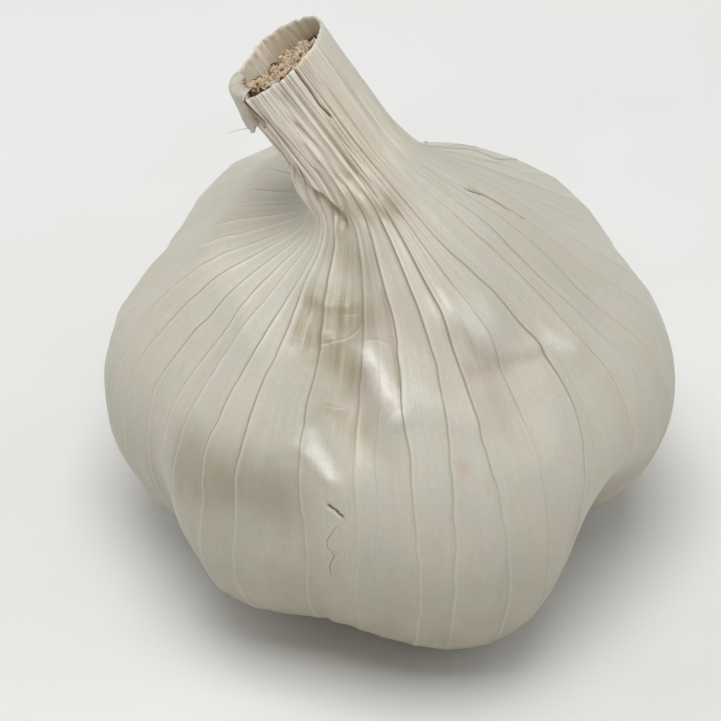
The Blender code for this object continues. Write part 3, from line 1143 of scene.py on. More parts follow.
@dataclass
class SkinPiece:
    """The papery skin: cloves, creases, folds and pleats, with its veins and fibres."""

    shape: BulbShape
    outline_rows: int = 212
    row_steps: int = 900
    rim_thickness: float = 0.28 * MM
    strand_radius: float = 30.0
    strand_stretch: float = 12.0
    back_veins: int = 17
    vein_jitter: float = 1.8
    back_turn: float = 7.0
    back_low: float = 2.0
    back_strength: tuple[float, float] = (0.45, 0.95)
    vein_wander: float = 0.55
    vein_seed: int = 7
    # Where a vein's columns stand between it and the next one: close beside the veins on the body.
    near_veins: tuple[float, ...] = (0.0, 0.045, 0.10, 0.19, 0.32, 0.50, 0.68, 0.81, 0.90, 0.955)
    # The neck's smooth right side: azimuth, half width and share of the relief left.
    calm_side: tuple[float, float, float] = (8.0, 75.0, 0.25)
    # By azimuth: the guessed veins are faint on the smooth right side.
    back_fade: Fade = Fade(20, 70, 0.4)
    # A vein's turn above and below, and where it wanders, by position. Waves: height, bumps, seed.
    upper_turn: Fade = Fade(6.0, 7.7)
    lower_turn: Fade = Fade(4.2, 6.0, 1.0, 0.0)
    wander_from: Fade = Fade(3.0, 4.0)
    wander_to: Fade = Fade(7.4, 8.2, 1.0, 0.0)
    wander_waves: tuple = ((1.0, 2.2, 71), (0.45, 6.5, 72))
    wander_spread: float = 0.37
    # By position: columns spread for the pleats, the pleats, and their faint run-out on the shoulder.
    even_columns: Fade = Fade(6.0, 8.5)
    neck: Fade = Fade(8.0, 9.2)
    faint_folds: Fade = Fade(6.2, 8.0, 0.0, 0.07)
    # The pleats: their shift (in turns), the swing between veins, and the uneven ones over it.
    pleat_shift: Wave = Wave(0.004, 14, 3.2, 2)
    pleat_swing: Wave = Wave(0.34, 41, 6, 3)
    pleat_waves: tuple[Wave, ...] = (
        Wave(0.40, 15, 9, 8),
        Wave(0.75, 72, 5.0, 5),
        Wave(0.16, 150, 3.2, 9),
        Wave(0.85, 24, 11, 12, 7),
        Wave(-0.35, 31, 8, 13, 8),
    )
    # How deep a furrow is where its painted shade shows, in rib heights.
    furrowed: Fade = Fade(0.45, 1.3)
    # The body's slack skin, drawn in between two veins (mm).
    slack_waves: tuple[Wave, ...] = (Wave(0.08, 47, 9, 21), Wave(0.11, 19, 12, 22))
    tightness: float = 0.06
    body: Fade = Fade(7.6, 8.6, 1.0, 0.0)
    # A fold's run-out at its ends, a ridge's sharpness, and a lip's gentle and steep sides.
    run_out: float = 1.6
    ridge_power: float = 1.5
    lip_sides: tuple[float, float] = (2.6, 0.8)
    # In a mark's half widths: its reach, and where it fades at its ends and sides.
    mark_reach: float = 8.0
    mark_ends: Fade = Fade(0.0, 2.5, 1.0, 0.0)
    mark_sides: Fade = Fade(4.5, 6.5, 1.0, 0.0)
    # The same for its groove and its raised lip, whose height is in mm.
    groove_width: float = 1.6
    lip_place: float = 2.4
    lip_width: float = 1.4
    lip_height: float = 0.14
    # By height (mm): painted shade, darker towards the foot.
    duller: Fade = Fade(4, 34, 0.8, 0.0)
    # The rim as the knife left it, with a nick here and there (mm).
    ragged: Fade = Fade(10.84, 11.0)
    rim_wave: Wave = Wave(0.08, 90, math.inf, 31)
    nick_wave: Wave = Wave(1.0, 37, math.inf, 33)
    nick_level: float = 0.45
    nick_depth: float = 0.35
    # Veins are weak on the neck, patchy, and end half way to the next. Low down only ridges go on.
    weak: Fade = Fade(8.1, 9.0, 1.0, 0.3)
    patches: Wave = Wave(0.35, 43, 8, 41)
    patch_level: float = 0.85
    near_vein: Fade = Fade(0.22, 0.42, 1.0, 0.0)
    lined: Fade = Fade(4.4, 5.9, 0.22)
    ridged: Fade = Fade(1.6, 3.4, 0.35)
    ridge_share: float = 0.6
    most_shade: float = 1.5
    # The mouth's rings by their drop (mm), and its wall: evened out, softly pleated, leaning in.
    mouth_drops: tuple[float, ...] = (-0.07, 0.0, 0.25, 0.6, 1.0, 1.5, 2.1, 2.8)
    wall_eased: Fade = Fade(0.0, 0.8)
    wall_wave: Wave = Wave(0.07, 52, 2.0, 35)
    wall_lean: float = 0.05
    wall_smoothing: int = 9
    floor_gap: float = 0.16 * MM
    # Inside the mouth the pleats' colour and the neck's painted light are less, and painted shade darkens the
    # wall further in.
    inner_pleats: float = 0.35
    inner_furrow_shade: tuple[float, float] = (0.0, 0.45)
    inner_tan_shade: tuple[float, float] = (0.05, 0.75)
    front: tuple[Vein, ...] = (
        Vein(-193, 9, 3, 0.90), Vein(-184, 9, 4, 1.15), Vein(-175, 8, 4, 1.25),
        Vein(-166.5, 8, 4, 1.35), Vein(-158, 8, 4, 1.30), Vein(-150, 8, 4, 1.40),
        Vein(-143, 7, 4, 1.45), Vein(-133, 5, 3, 1.35), Vein(-126, 7, 4, 1.2),
        Vein(-120, 7, 4, 0.15), Vein(-113.5, 7, 6, 0.95), Vein(-106, 4.5, 4, 0.12),
        Vein(-99, 2, 2.5, 0.50), Vein(-93, 3, 1, 0.15), Vein(-86, 3.6, 1.5, 0.95),
        Vein(-75.7, 3, -2, 0.85), Vein(-68.3, 3, 0.5, 0.90), Vein(-62, 5.5, -1, 0.15),
        Vein(-55.3, 8, -3, 0.60), Vein(-48, 11.5, -6, 0.12), Vein(-40, 15, -9, 0.95),
        Vein(-33.5, 11.5, -5, 0.15), Vein(-27, 8, -3, 0.45), Vein(-20, 7, -2, 0.40),
        Vein(-12, 6, -1, 0.40),
    )
    features: tuple[Feature, ...] = (
        # The front clove's bright shoulder, and the swellings on both sides of the valley.
        Feature(((-97.5, 6.42), (-93.0, 6.12), (-88.0, 5.82)), 1.0, 0.60),
        Feature(((-99.5, 6.0), (-94, 5.5)), 1.4, -0.34),
        Feature(((-86, 6.0), (-70, 5.7)), 1.8, 0.26),
        Feature(((-90, 6.75), (-84, 6.6)), 2.4, -0.28),
        # The pinched hollow under the gathered folds, and its lower lip.
        Feature(((-66, 6.65), (-56, 6.5)), 2.2, 0.62),
        Feature(
            ((-65, 6.46), (-63.5, 6.3), (-59.5, 6.18), (-54.5, 6.12), (-42.5, 5.98)), 0.8, -0.48, Fold.LIP
        ),
        Feature(((-61.8, 6.42), (-58, 6.36)), 0.8, 0.20),
        # Tight spots on the right clove.
        Feature(((-36, 6.0), (-32, 5.8)), 1.6, 0.60),
        Feature(((-41.2, 6.22), (-43.8, 5.82)), 0.6, 0.20, Fold.RIDGE),
        Feature(((-27, 6.9), (-21, 6.4)), 1.2, -0.20),
        # A sharp creased fold and the smooth cheek beside it.
        Feature(((-112.2, 5.44), (-103.2, 5.18)), 0.55, 0.36, Fold.RIDGE),
        Feature(((-111, 5.68), (-102, 5.34)), 0.9, -0.24),
        # Folds across the valley between the left and the front clove.
        Feature(((-121, 7.02), (-116, 6.98), (-112, 7.04)), 0.32, 0.18, Fold.RIDGE),
        Feature(((-110.5, 7.04), (-107, 6.98), (-104.5, 7.06)), 0.28, 0.16, Fold.RIDGE),
        Feature(((-109.5, 6.86), (-106.5, 6.82), (-104, 6.90)), 0.28, 0.16, Fold.RIDGE),
        Feature(((-114.8, 6.64), (-110, 6.58), (-106.5, 6.64), (-104.6, 6.80)), 0.30, 0.24, Fold.RIDGE),
        Feature(((-103.8, 6.56), (-99.8, 6.52), (-97.5, 6.58)), 0.28, 0.18, Fold.RIDGE),
        Feature(((-111, 5.88), (-107, 5.92), (-103.2, 5.90)), 0.30, 0.14, Fold.RIDGE),
        Feature(((-124, 6.9), (-117, 6.5)), 0.9, -0.24),
        # Folds across the left shoulder.
        Feature(((-150, 6.4), (-143, 6.2)), 1.2, 0.14),
        Feature(((-141, 5.3), (-131, 5.2)), 1.0, 0.14),
        Feature(((-166, 5.9), (-156, 5.8)), 1.3, 0.16),
        # The back of the left clove, flatter than the solid below it.
        Feature(((-198, 5.3), (-182, 5.1)), 4.5, -0.85),
        # Furrows where the leaf is gathered into the neck, each with a raised fold beside it.
        Feature(GATHERS, 0.50, -0.44),
        Feature(((-132, 9.5), (-117, 9.1), (-109, 8.6), (-104.5, 8.2)), 0.36, 0.20, Fold.RIDGE),
        Feature(
            ((-99.8, 9.9), (-99.5, 9.3), (-100.8, 9.04), (-104, 8.68), (-110.8, 8.3)), 0.32, -0.42, Fold.RIDGE
        ),
        Feature((*NECK_FURROW, (-84.2, 8.76)), 0.30, -0.42, Fold.RIDGE),
        Feature(((-94, 9.44), (-90.8, 9.06), (-91, 8.42), (-90.5, 8.14)), 0.30, -0.30, Fold.RIDGE),
        Feature(((-80.8, 9.16), (-79.8, 8.78), (-78.5, 8.42), (-78.5, 8.12)), 0.30, -0.34, Fold.RIDGE),
        Feature(((-67.2, 8.7), (-68, 8.32), (-66.8, 8.0)), 0.28, -0.30, Fold.RIDGE),
        Feature(((-73, 9.1), (-72, 8.45)), 0.28, -0.24, Fold.RIDGE),
        Feature(((-120, 9.1), (-118, 8.5)), 0.40, -0.40, Fold.RIDGE),
        Feature(((-108, 9.5), (-107.5, 9.0), (-111, 8.6)), 0.34, -0.40, Fold.RIDGE),
        Feature(((-97, 9.4), (-96.5, 8.9), (-98, 8.5)), 0.36, 0.34, Fold.RIDGE),
        Feature(((-86, 9.4), (-85.5, 8.9), (-85, 8.3)), 0.40, 0.36, Fold.RIDGE),
        Feature(((-74.5, 9.0), (-74, 8.2)), 0.36, 0.30, Fold.RIDGE),
        Feature(((-115.5, 8.14), (-114, 8.3)), 0.6, 0.35),
        Feature(((-36, 9.1), (-33, 8.3)), 0.40, -0.18, Fold.RIDGE),
    )
    marks: tuple[Mark, ...] = (
        # The split in the neck.
        Mark(
            ((-61.5, 10.96), (-62.0, 10.72), (-61.8, 10.56), (-62.8, 10.3), (-61, 10.1)),
            0.13, 0.65, 0.9, 0.6, 0.25,
        ),
        # The slit in the shoulder.
        Mark(((-13.2, 7.56), (-10, 7.36), (-8.6, 7.12), (-6.5, 6.94)), 0.16, 0.75, 0.85, 0.8, 0.30),
        # The crack in the front clove's skin, and the kinked line down from it.
        Mark(((-103, 4.92), (-101.5, 4.89), (-100, 4.84)), 0.15, 1.0, 0.4, 0.8, 0.25),
        Mark(
            ((-101.2, 4.7), (-103.0, 4.52), (-103.0, 4.44), (-101.2, 4.36), (-102.4, 4.2), (-102.0, 4.1)),
            0.075, 0.42, 0.3, 0.3, 0.10,
        ),
        # Fine folds across the valley, each with a painted highlight along its lip and a faint brown line.
        Mark(
            ((-115.0, 6.55), (-113.0, 6.58), (-111.2, 6.62), (-107.3, 6.66), (-105.0, 6.71), (-103.0, 6.78)),
            0.13, 0.0, 0.30, 0.42, 0.05,
        ),
        Mark(((-98.8, 6.67), (-95.5, 6.68), (-93.2, 6.66), (-90.4, 6.62)), 0.12, 0.0, 0.15, 0.35, 0.04),
        Mark(((-112.2, 7.07), (-110.2, 7.075), (-108.4, 7.07)), 0.10, 0.0, 0.20, 0.28, 0.04),
        Mark(((-108.2, 6.94), (-106.5, 6.95), (-104.6, 6.95)), 0.10, 0.0, 0.25, 0.30, 0.04),
        Mark(((-108.6, 5.92), (-106.0, 5.915), (-103.4, 5.93)), 0.12, 0.0, 0.15, 0.28, 0.04),
    )
    tints: tuple[tuple[str, Feature], ...] = (
        # Painted highlights on the front clove's shoulder, the hollow's lower lip, the right clove and the
        # creased fold.
        ("taut", Feature(((-97.5, 6.5), (-93, 6.2), (-88, 5.87)), 0.9, 0.75)),
        ("taut", Feature(((-66, 6.7), (-57, 6.5)), 1.6, 0.4)),
        ("taut", Feature(((-36, 6.02), (-33, 5.9)), 1.1, 0.5)),
        ("taut", Feature(((-112, 5.6), (-104, 5.28)), 0.8, 0.4)),
        ("scorch", Feature(((-90.8, 7.15), (-89.2, 6.6), (-87.4, 6.15)), 0.26, 0.42)),
        ("scorch", Feature(((-120, 7.5), (-118, 7.2)), 0.5, 0.12)),
        ("blush", Feature(((-74.4, 5.36), (-74.1, 5.28)), 0.55, 0.5)),
        ("blush", Feature(((-70.2, 5.14), (-69.6, 5.06)), 0.35, 0.35)),
        ("blush", Feature(((-78, 6.9), (-76, 6.2)), 1.6, 0.12)),
        ("blush", Feature(((-62, 6.2), (-58, 5.4)), 2.0, 0.10)),
        # Tan painted shade: in the valley between the left and the front clove, the hollows beside them, the
        # gathers and along the neck's left side.
        ("tan", Feature(((-117, 7.75), (-98, 7.5)), 2.1, 0.55)),
        ("tan", Feature(((-123, 7.0), (-101, 6.9)), 2.2, 0.78)),
        ("tan", Feature(((-122, 6.6), (-101, 6.3)), 1.9, 0.68)),
        ("tan", Feature(((-108, 5.9), (-99, 5.7)), 1.8, 0.40)),
        ("tan", Feature(((-98, 6.0), (-90, 5.5)), 2.0, 0.20)),
        ("tan", Feature(((-66, 6.2), (-54, 6.1)), 0.9, 0.34)),
        ("tan", Feature(GATHERS, 0.8, 0.85)),
        ("tan", Feature(((-150, 10.2), (-128, 9.7), (-112, 9.2), (-106, 8.7)), 1.7, 0.75)),
        ("tan", Feature(((-104, 9.2), (-92, 8.7), (-78, 8.3), (-68, 8.2)), 1.8, 0.55)),
        # Painted shade deep in the gathers and the neck's furrow.
        ("furrow", Feature(GATHERS, 0.35, 0.9)),
        ("furrow", Feature(NECK_FURROW, 0.22, 0.6)),
        # Painted shade low on the front left.
        ("dusk", Feature(((-136, 4.8), (-116, 4.9)), 4.5, 0.6)),
        ("crinkle", Feature(((-122, 7.1), (-100, 6.8)), 2.2, 1.0)),
        ("crinkle", Feature(((-112, 6.2), (-104, 5.4)), 1.6, 0.7)),
        ("crinkle", Feature(((-36, 6.05), (-32, 5.8)), 1.5, 0.9)),
        ("crinkle", Feature(((-60, 6.3), (-44, 6.1)), 1.4, 0.6)),
        ("crinkle", Feature(((-128, 6.6), (-122, 6.3)), 1.2, 0.7)),
        ("crinkle", Feature(((-122, 8.5), (-104, 8.1), (-80, 8.1)), 1.5, 0.55)),
    )

    def veins(self) -> list[Vein]:
        """Puts the veins seen in front together with guessed ones at the back.

        Returns:
            All the veins round the bulb, anticlockwise.
        """
        draw = random.Random(self.vein_seed)
        first, last = self.front[0].azimuth + 360, self.front[-1].azimuth
        spacing = (first - last) / (self.back_veins + 1)
        back = []
        for i in range(self.back_veins):
            azimuth = last + spacing * (i + 1) + draw.uniform(-self.vein_jitter, self.vein_jitter)
            strength = draw.uniform(*self.back_strength) * self.back_fade.at(azimuth)
            back.append(Vein(azimuth, self.back_turn, self.back_low, strength))
        return list(self.front) + back

    def vein_azimuth(self, vein: Vein, position: np.ndarray) -> np.ndarray:
        """Where a vein runs.

        Args:
            vein: the vein.
            position: outline positions.

        Returns:
            Its azimuth in degrees at each position.
        """
        own = vein.azimuth * self.wander_spread
        wander = sum(high * ripple(position * bumps, own, seed) for high, bumps, seed in self.wander_waves)
        wander = self.vein_wander * wander * (self.wander_from.at(position) * self.wander_to.at(position))
        turn, low = vein.turn * self.upper_turn.at(position), vein.low * self.lower_turn.at(position)
        return vein.azimuth - turn + low + wander

    def columns(self, position: np.ndarray) -> dict[str, np.ndarray]:
        """The azimuth of every column at every position, and where it is against its vein.

        Args:
            position: outline positions, one a row.

        Returns:
            By row and column: the azimuth (radians), the leaf's own azimuth, which stays the same along
            a fibre (radians), the share from one vein to the next, the distance to the nearest vein
            (mm), and that vein's strength.
        """
        veins = self.veins()
        neck = self.even_columns.at(position)[:, None]
        near = np.array(self.near_veins)
        even = np.arange(len(near)) / len(near)
        share = near * (1 - neck) + even * neck
        radius = self.shape.stations(position)[:, 0][:, None]
        made = {name: [] for name in ("turn", "leaf", "share", "gap", "strength")}
        for i, vein in enumerate(veins):
            following = veins[(i + 1) % len(veins)]
            around = 360 if i + 1 == len(veins) else 0
            start = self.vein_azimuth(vein, position)[:, None]
            end = self.vein_azimuth(following, position)[:, None] + around
            turn = start + (end - start) * share
            before, after = np.radians(turn - start) * radius, np.radians(turn - end) * radius
            closer = share < 0.5
            apart = following.azimuth + around - vein.azimuth
            made["turn"].append(np.radians(turn))
            made["leaf"].append(np.radians(vein.azimuth + apart * share))
            made["share"].append(share)
            made["gap"].append(np.where(closer, before, after))
            made["strength"].append(np.where(closer, vein.strength, following.strength))
        return {name: np.concatenate(part, 1) for name, part in made.items()}

    def beside(self, position: np.ndarray, turn: np.ndarray, points: tuple) -> tuple[np.ndarray, np.ndarray]:
        """How places lie beside a line on the skin, laid out flat round the line's middle.

        Args:
            position: outline positions.
            turn: azimuths in radians.
            points: the line's points (azimuth in degrees, outline position).

        Returns:
            Distance across the line, positive on the right as it runs, and distance beyond its ends,
            in millimetres.
        """
        line = np.array(points, float)
        centre = math.radians(line[:, 0].mean())
        around = (turn - centre + math.pi) % TAU - math.pi
        x = around * self.shape.stations(position)[..., 0]
        y = self.shape.arc(position) / MM
        line_x = (np.radians(line[:, 0]) - centre) * self.shape.stations(line[:, 1])[:, 0]
        line_y = self.shape.arc(line[:, 1]) / MM
        nearest = np.full(turn.shape, np.inf)
        across, beyond = np.zeros(turn.shape), np.zeros(turn.shape)
        for i in range(len(line) - 1):
            dx, dy = line_x[i + 1] - line_x[i], line_y[i + 1] - line_y[i]
            length = math.hypot(dx, dy)
            along = ((x - line_x[i]) * dx + (y - line_y[i]) * dy) / length
            aside = ((x - line_x[i]) * dy - (y - line_y[i]) * dx) / length
            over = np.maximum(np.maximum(-along, along - length), 0)
            away = np.hypot(aside, over)
            closer = away < nearest
            nearest = np.where(closer, away, nearest)
            across = np.where(closer, aside, across)
            beyond = np.where(closer, over, beyond)
        return across, beyond

    def relief(self, position: np.ndarray, turn: np.ndarray, features: tuple[Feature, ...]) -> np.ndarray:
        """How far folds, furrows and swellings raise the skin.

        Args:
            position: outline positions.
            turn: azimuths in radians.
            features: the folds.

        Returns:
            Heights in millimetres.
        """
        raised = np.zeros_like(turn)
        for feature in features:
            across, beyond = self.beside(position, turn, feature.points)
            across, beyond = across / feature.half_width, beyond / feature.half_width
            if feature.fold is Fold.SWELL:
                profile = np.exp(-(across**2) - beyond**2)
            elif feature.fold is Fold.RIDGE:
                profile = np.exp(-np.hypot(across, beyond / self.run_out) ** self.ridge_power)
            else:
                gentle, steep = self.lip_sides
                sides = np.where(across > 0, across / gentle, across / steep)
                profile = np.exp(-(sides**2) - (beyond / self.run_out) ** 2)
            raised += feature.height * profile
        return raised

    def pleats(self, position: np.ndarray, columns: dict[str, np.ndarray]) -> tuple[np.ndarray, ...]:
        """The neck's pleats: uneven folds, fine ones between them, and a few sharp crests.

        Args:
            position: outline positions.
            columns: what `columns` gave.

        Returns:
            Heights in metres, how deep in a furrow each place is, which is painted as shade, and how much on
            the pleated neck it is, where the neck is painted lighter as painted light and streaked.
        """
        along = self.shape.arc(position) / MM
        turns = columns["leaf"] / TAU
        turns = turns + self.pleat_shift.at(turns, along)
        centre, half_width, left = self.calm_side
        aside = (np.degrees(columns["turn"]) - centre + 180) % 360 - 180
        calm = 1 - (1 - left) * np.exp(-((aside / half_width) ** 2))
        neck = self.neck.at(position)
        wave = np.cos(TAU * columns["share"]) * (self.pleat_swing.height + self.pleat_swing.at(turns, along))
        waves = sum((other.at(turns, along) for other in self.pleat_waves), wave)
        height = calm * (neck + self.faint_folds.at(position) * (1 - neck)) * waves
        rib = self.shape.stations(position)[..., 3] * MM
        return rib * height, self.furrowed.at(-height) * neck, neck * calm

    def marked(self, position: np.ndarray, turn: np.ndarray) -> dict[str, np.ndarray]:
        """Where the thin marks are.

        Args:
            position: outline positions.
            turn: azimuths in radians.

        Returns:
            Fields by name: the distance across the nearest mark, in its half widths, how dark it is
            painted as shade, how brown it is, how pale its lip is painted as a highlight, and its depth in
            millimetres.
        """
        names = ("mark_across", "mark_dark", "mark_warm", "mark_lip", "depth")
        fields = {name: np.zeros(turn.shape) for name in names}
        nearest = np.full(turn.shape, self.mark_reach)
        fields["mark_across"] += self.mark_reach
        for mark in self.marks:
            across, beyond = (part / mark.half_width for part in self.beside(position, turn, mark.points))
            away = np.hypot(across, beyond)
            closer = away < nearest
            nearest = np.where(closer, away, nearest)
            shown = self.mark_ends.at(beyond) * self.mark_sides.at(away)
            values = (across, mark.dark * shown, mark.warm * shown, mark.lip * shown, mark.depth * shown)
            for name, value in zip(names, values):
                fields[name] = np.where(closer, value, fields[name])
        return fields

    def tinted(self, position: np.ndarray, turn: np.ndarray) -> dict[str, np.ndarray]:
        """The tinted and crinkled places of the skin, each from 0 to 1: stains, painted highlights and
        painted shade.

        Args:
            position: outline positions.
            turn: azimuths in radians.

        Returns:
            Fields by name.
        """
        height = self.shape.stations(position)[..., 1]
        fields = {name: np.zeros(turn.shape) for name, _ in self.tints}
        # Painted shade, darker towards the foot.
        fields["dusk"] += self.duller.at(height)
        for name, feature in self.tints:
            fields[name] += self.relief(position, turn, (feature,))
        return {name: np.clip(values, 0, 1) for name, values in fields.items()}

    def rings(self) -> tuple[np.ndarray, dict[str, np.ndarray], np.ndarray]:
        """The outer skin's points and fields, from the root plate to the rim.

        Returns:
            Points before the lean by ring and column, fields, and each column's azimuth at the start.
        """
        steps = np.linspace(0, self.shape.last, self.row_steps)
        length = self.shape.arc(steps)
        rows = np.interp(np.linspace(0, length[-1], self.outline_rows), length, steps)
        columns = self.columns(rows)
        turn = columns["turn"]
        position = np.broadcast_to(rows[:, None], turn.shape)
        along = self.shape.arc(position) / MM
        pleats, furrow, pleated = self.pleats(position, columns)
        turns = columns["leaf"] / TAU
        slack = sum(wave.at(turns, along) for wave in self.slack_waves)
        tight = np.sin(math.pi * columns["share"]) ** 2 * self.tightness
        marks = self.marked(position, turn)
        across = marks["mark_across"]
        groove = marks.pop("depth") * np.exp(-((across / self.groove_width) ** 2))
        beside = (across - self.lip_place) / self.lip_width
        lip = self.lip_height * marks["mark_lip"] * np.exp(-(beside**2))
        folds = self.relief(position, turn, self.features) - groove + lip
        folds = folds + (slack - tight) * self.body.at(position)
        points = self.shape.place(position, turn, pleats + folds * MM)
        nicks = np.maximum(self.nick_wave.at(turns, along) - self.nick_level, 0)
        uneven = self.rim_wave.at(turns, along) - self.nick_depth * nicks
        points[..., 2] += self.ragged.at(position) * MM * uneven
        radius = self.strand_radius
        leaf = columns["leaf"]
        strand = np.stack([radius * np.cos(leaf), radius * np.sin(leaf), along / self.strand_stretch], -1)
        patchy = self.patch_level + self.patches.at(turns, along)
        aside = np.minimum(columns["share"], 1 - columns["share"])
        strength = columns["strength"] * self.weak.at(position) * patchy * self.near_vein.at(aside)
        lined = self.lined.at(position)
        raised = self.ridge_share + (1 - self.ridge_share) * lined
        fields = {
            "strand": strand,
            "vein_gap": columns["gap"],
            "vein_strength": np.clip(strength * self.ridged.at(position) * raised, 0, 1),
            "vein_shade": np.clip(strength * lined, 0, self.most_shade),
            "pleated": pleated,
            **marks,
            **self.tinted(position, turn),
        }
        # Painted shade deep in the neck's pleats.
        fields["furrow"] = np.maximum(fields["furrow"], furrow)
        return points, fields, turn[0]

    def mouth_rings(self, rim: np.ndarray) -> np.ndarray:
        """The rim's crown, the softly pleated inner wall and the level floor, before the lean.

        Args:
            rim: the outer skin's last ring.

        Returns:
            Points by ring and column.
        """
        radius = np.hypot(rim[:, 0], rim[:, 1])
        unit = rim[:, :2] / radius[:, None]
        turns = np.arctan2(rim[:, 1], rim[:, 0]) / TAU
        spread = range(-self.wall_smoothing, self.wall_smoothing + 1)
        smooth = np.mean([np.roll(radius, k) for k in spread], axis=0)
        rings = []
        for drop in self.mouth_drops:
            # The crown is half way across the rim.
            eased = self.wall_eased.at(drop)
            wall = radius * (1 - eased) + smooth * eased - self.rim_thickness * (0.5 if drop < 0 else 1.0)
            wall = wall + MM * (self.wall_wave.at(turns, drop) - self.wall_lean * drop) * eased
            rings.append(np.column_stack([unit * wall[:, None], rim[:, 2] - drop * MM]))
        floor = np.full(len(rim), self.shape.mouth_floor)
        inner = smooth - self.rim_thickness - self.floor_gap
        for share in (1.0, 0.5):
            rings.append(np.column_stack([unit * (inner * share)[:, None], floor]))
        return np.stack(rings)

    def build(self, finish: bpy.types.Material) -> bpy.types.Object:
        """Builds and dresses the skin.

        Args:
            finish: the skin's material.

        Returns:
            The finished piece.
        """
        shape = self.shape
        points, fields, turn = self.rings()
        unit = np.column_stack([np.cos(turn), np.sin(turn), 0 * turn])
        height = np.array([0, 0, shape.recess_height])
        recess = np.stack([unit * shape.recess_radius * share + height for share in (0.5, 1.0)])
        mouth = self.mouth_rings(points[-1])
        before, after = len(recess), len(mouth)
        whole = shape.bend(np.concatenate([recess, points, mouth]))
        for name, values in fields.items():
            first, last = values[:1], values[-1:]
            fields[name] = np.concatenate([first.repeat(before, 0), values, last.repeat(after, 0)])
        # Inside the mouth: less of the neck's painted light, no vein or mark lines, and painted shade
        # deepening further in.
        fields["pleated"][-after:] *= self.inner_pleats
        outside = ("vein_strength", "vein_shade", "crinkle", "scorch", "mark_dark", "mark_warm", "mark_lip")
        for name in outside:
            fields[name][-after:] = 0
        fields["furrow"][-after:] = np.linspace(*self.inner_furrow_shade, after)[:, None]
        fields["tan"][-after:] = np.linspace(*self.inner_tan_shade, after)[:, None]
        end = shape.bend(np.array([[0.0, 0.0, shape.mouth_floor]]))[0]
        piece = show(ring_mesh("skin", whole, height, end, fields), "skin")
        relief = SkinRelief()
        values = relief.values(finish)
        grow(piece, relief.tree(values), values)
        wear(piece, finish)
        return hand_over(piece, Slot.SKIN, "bulb_skin")


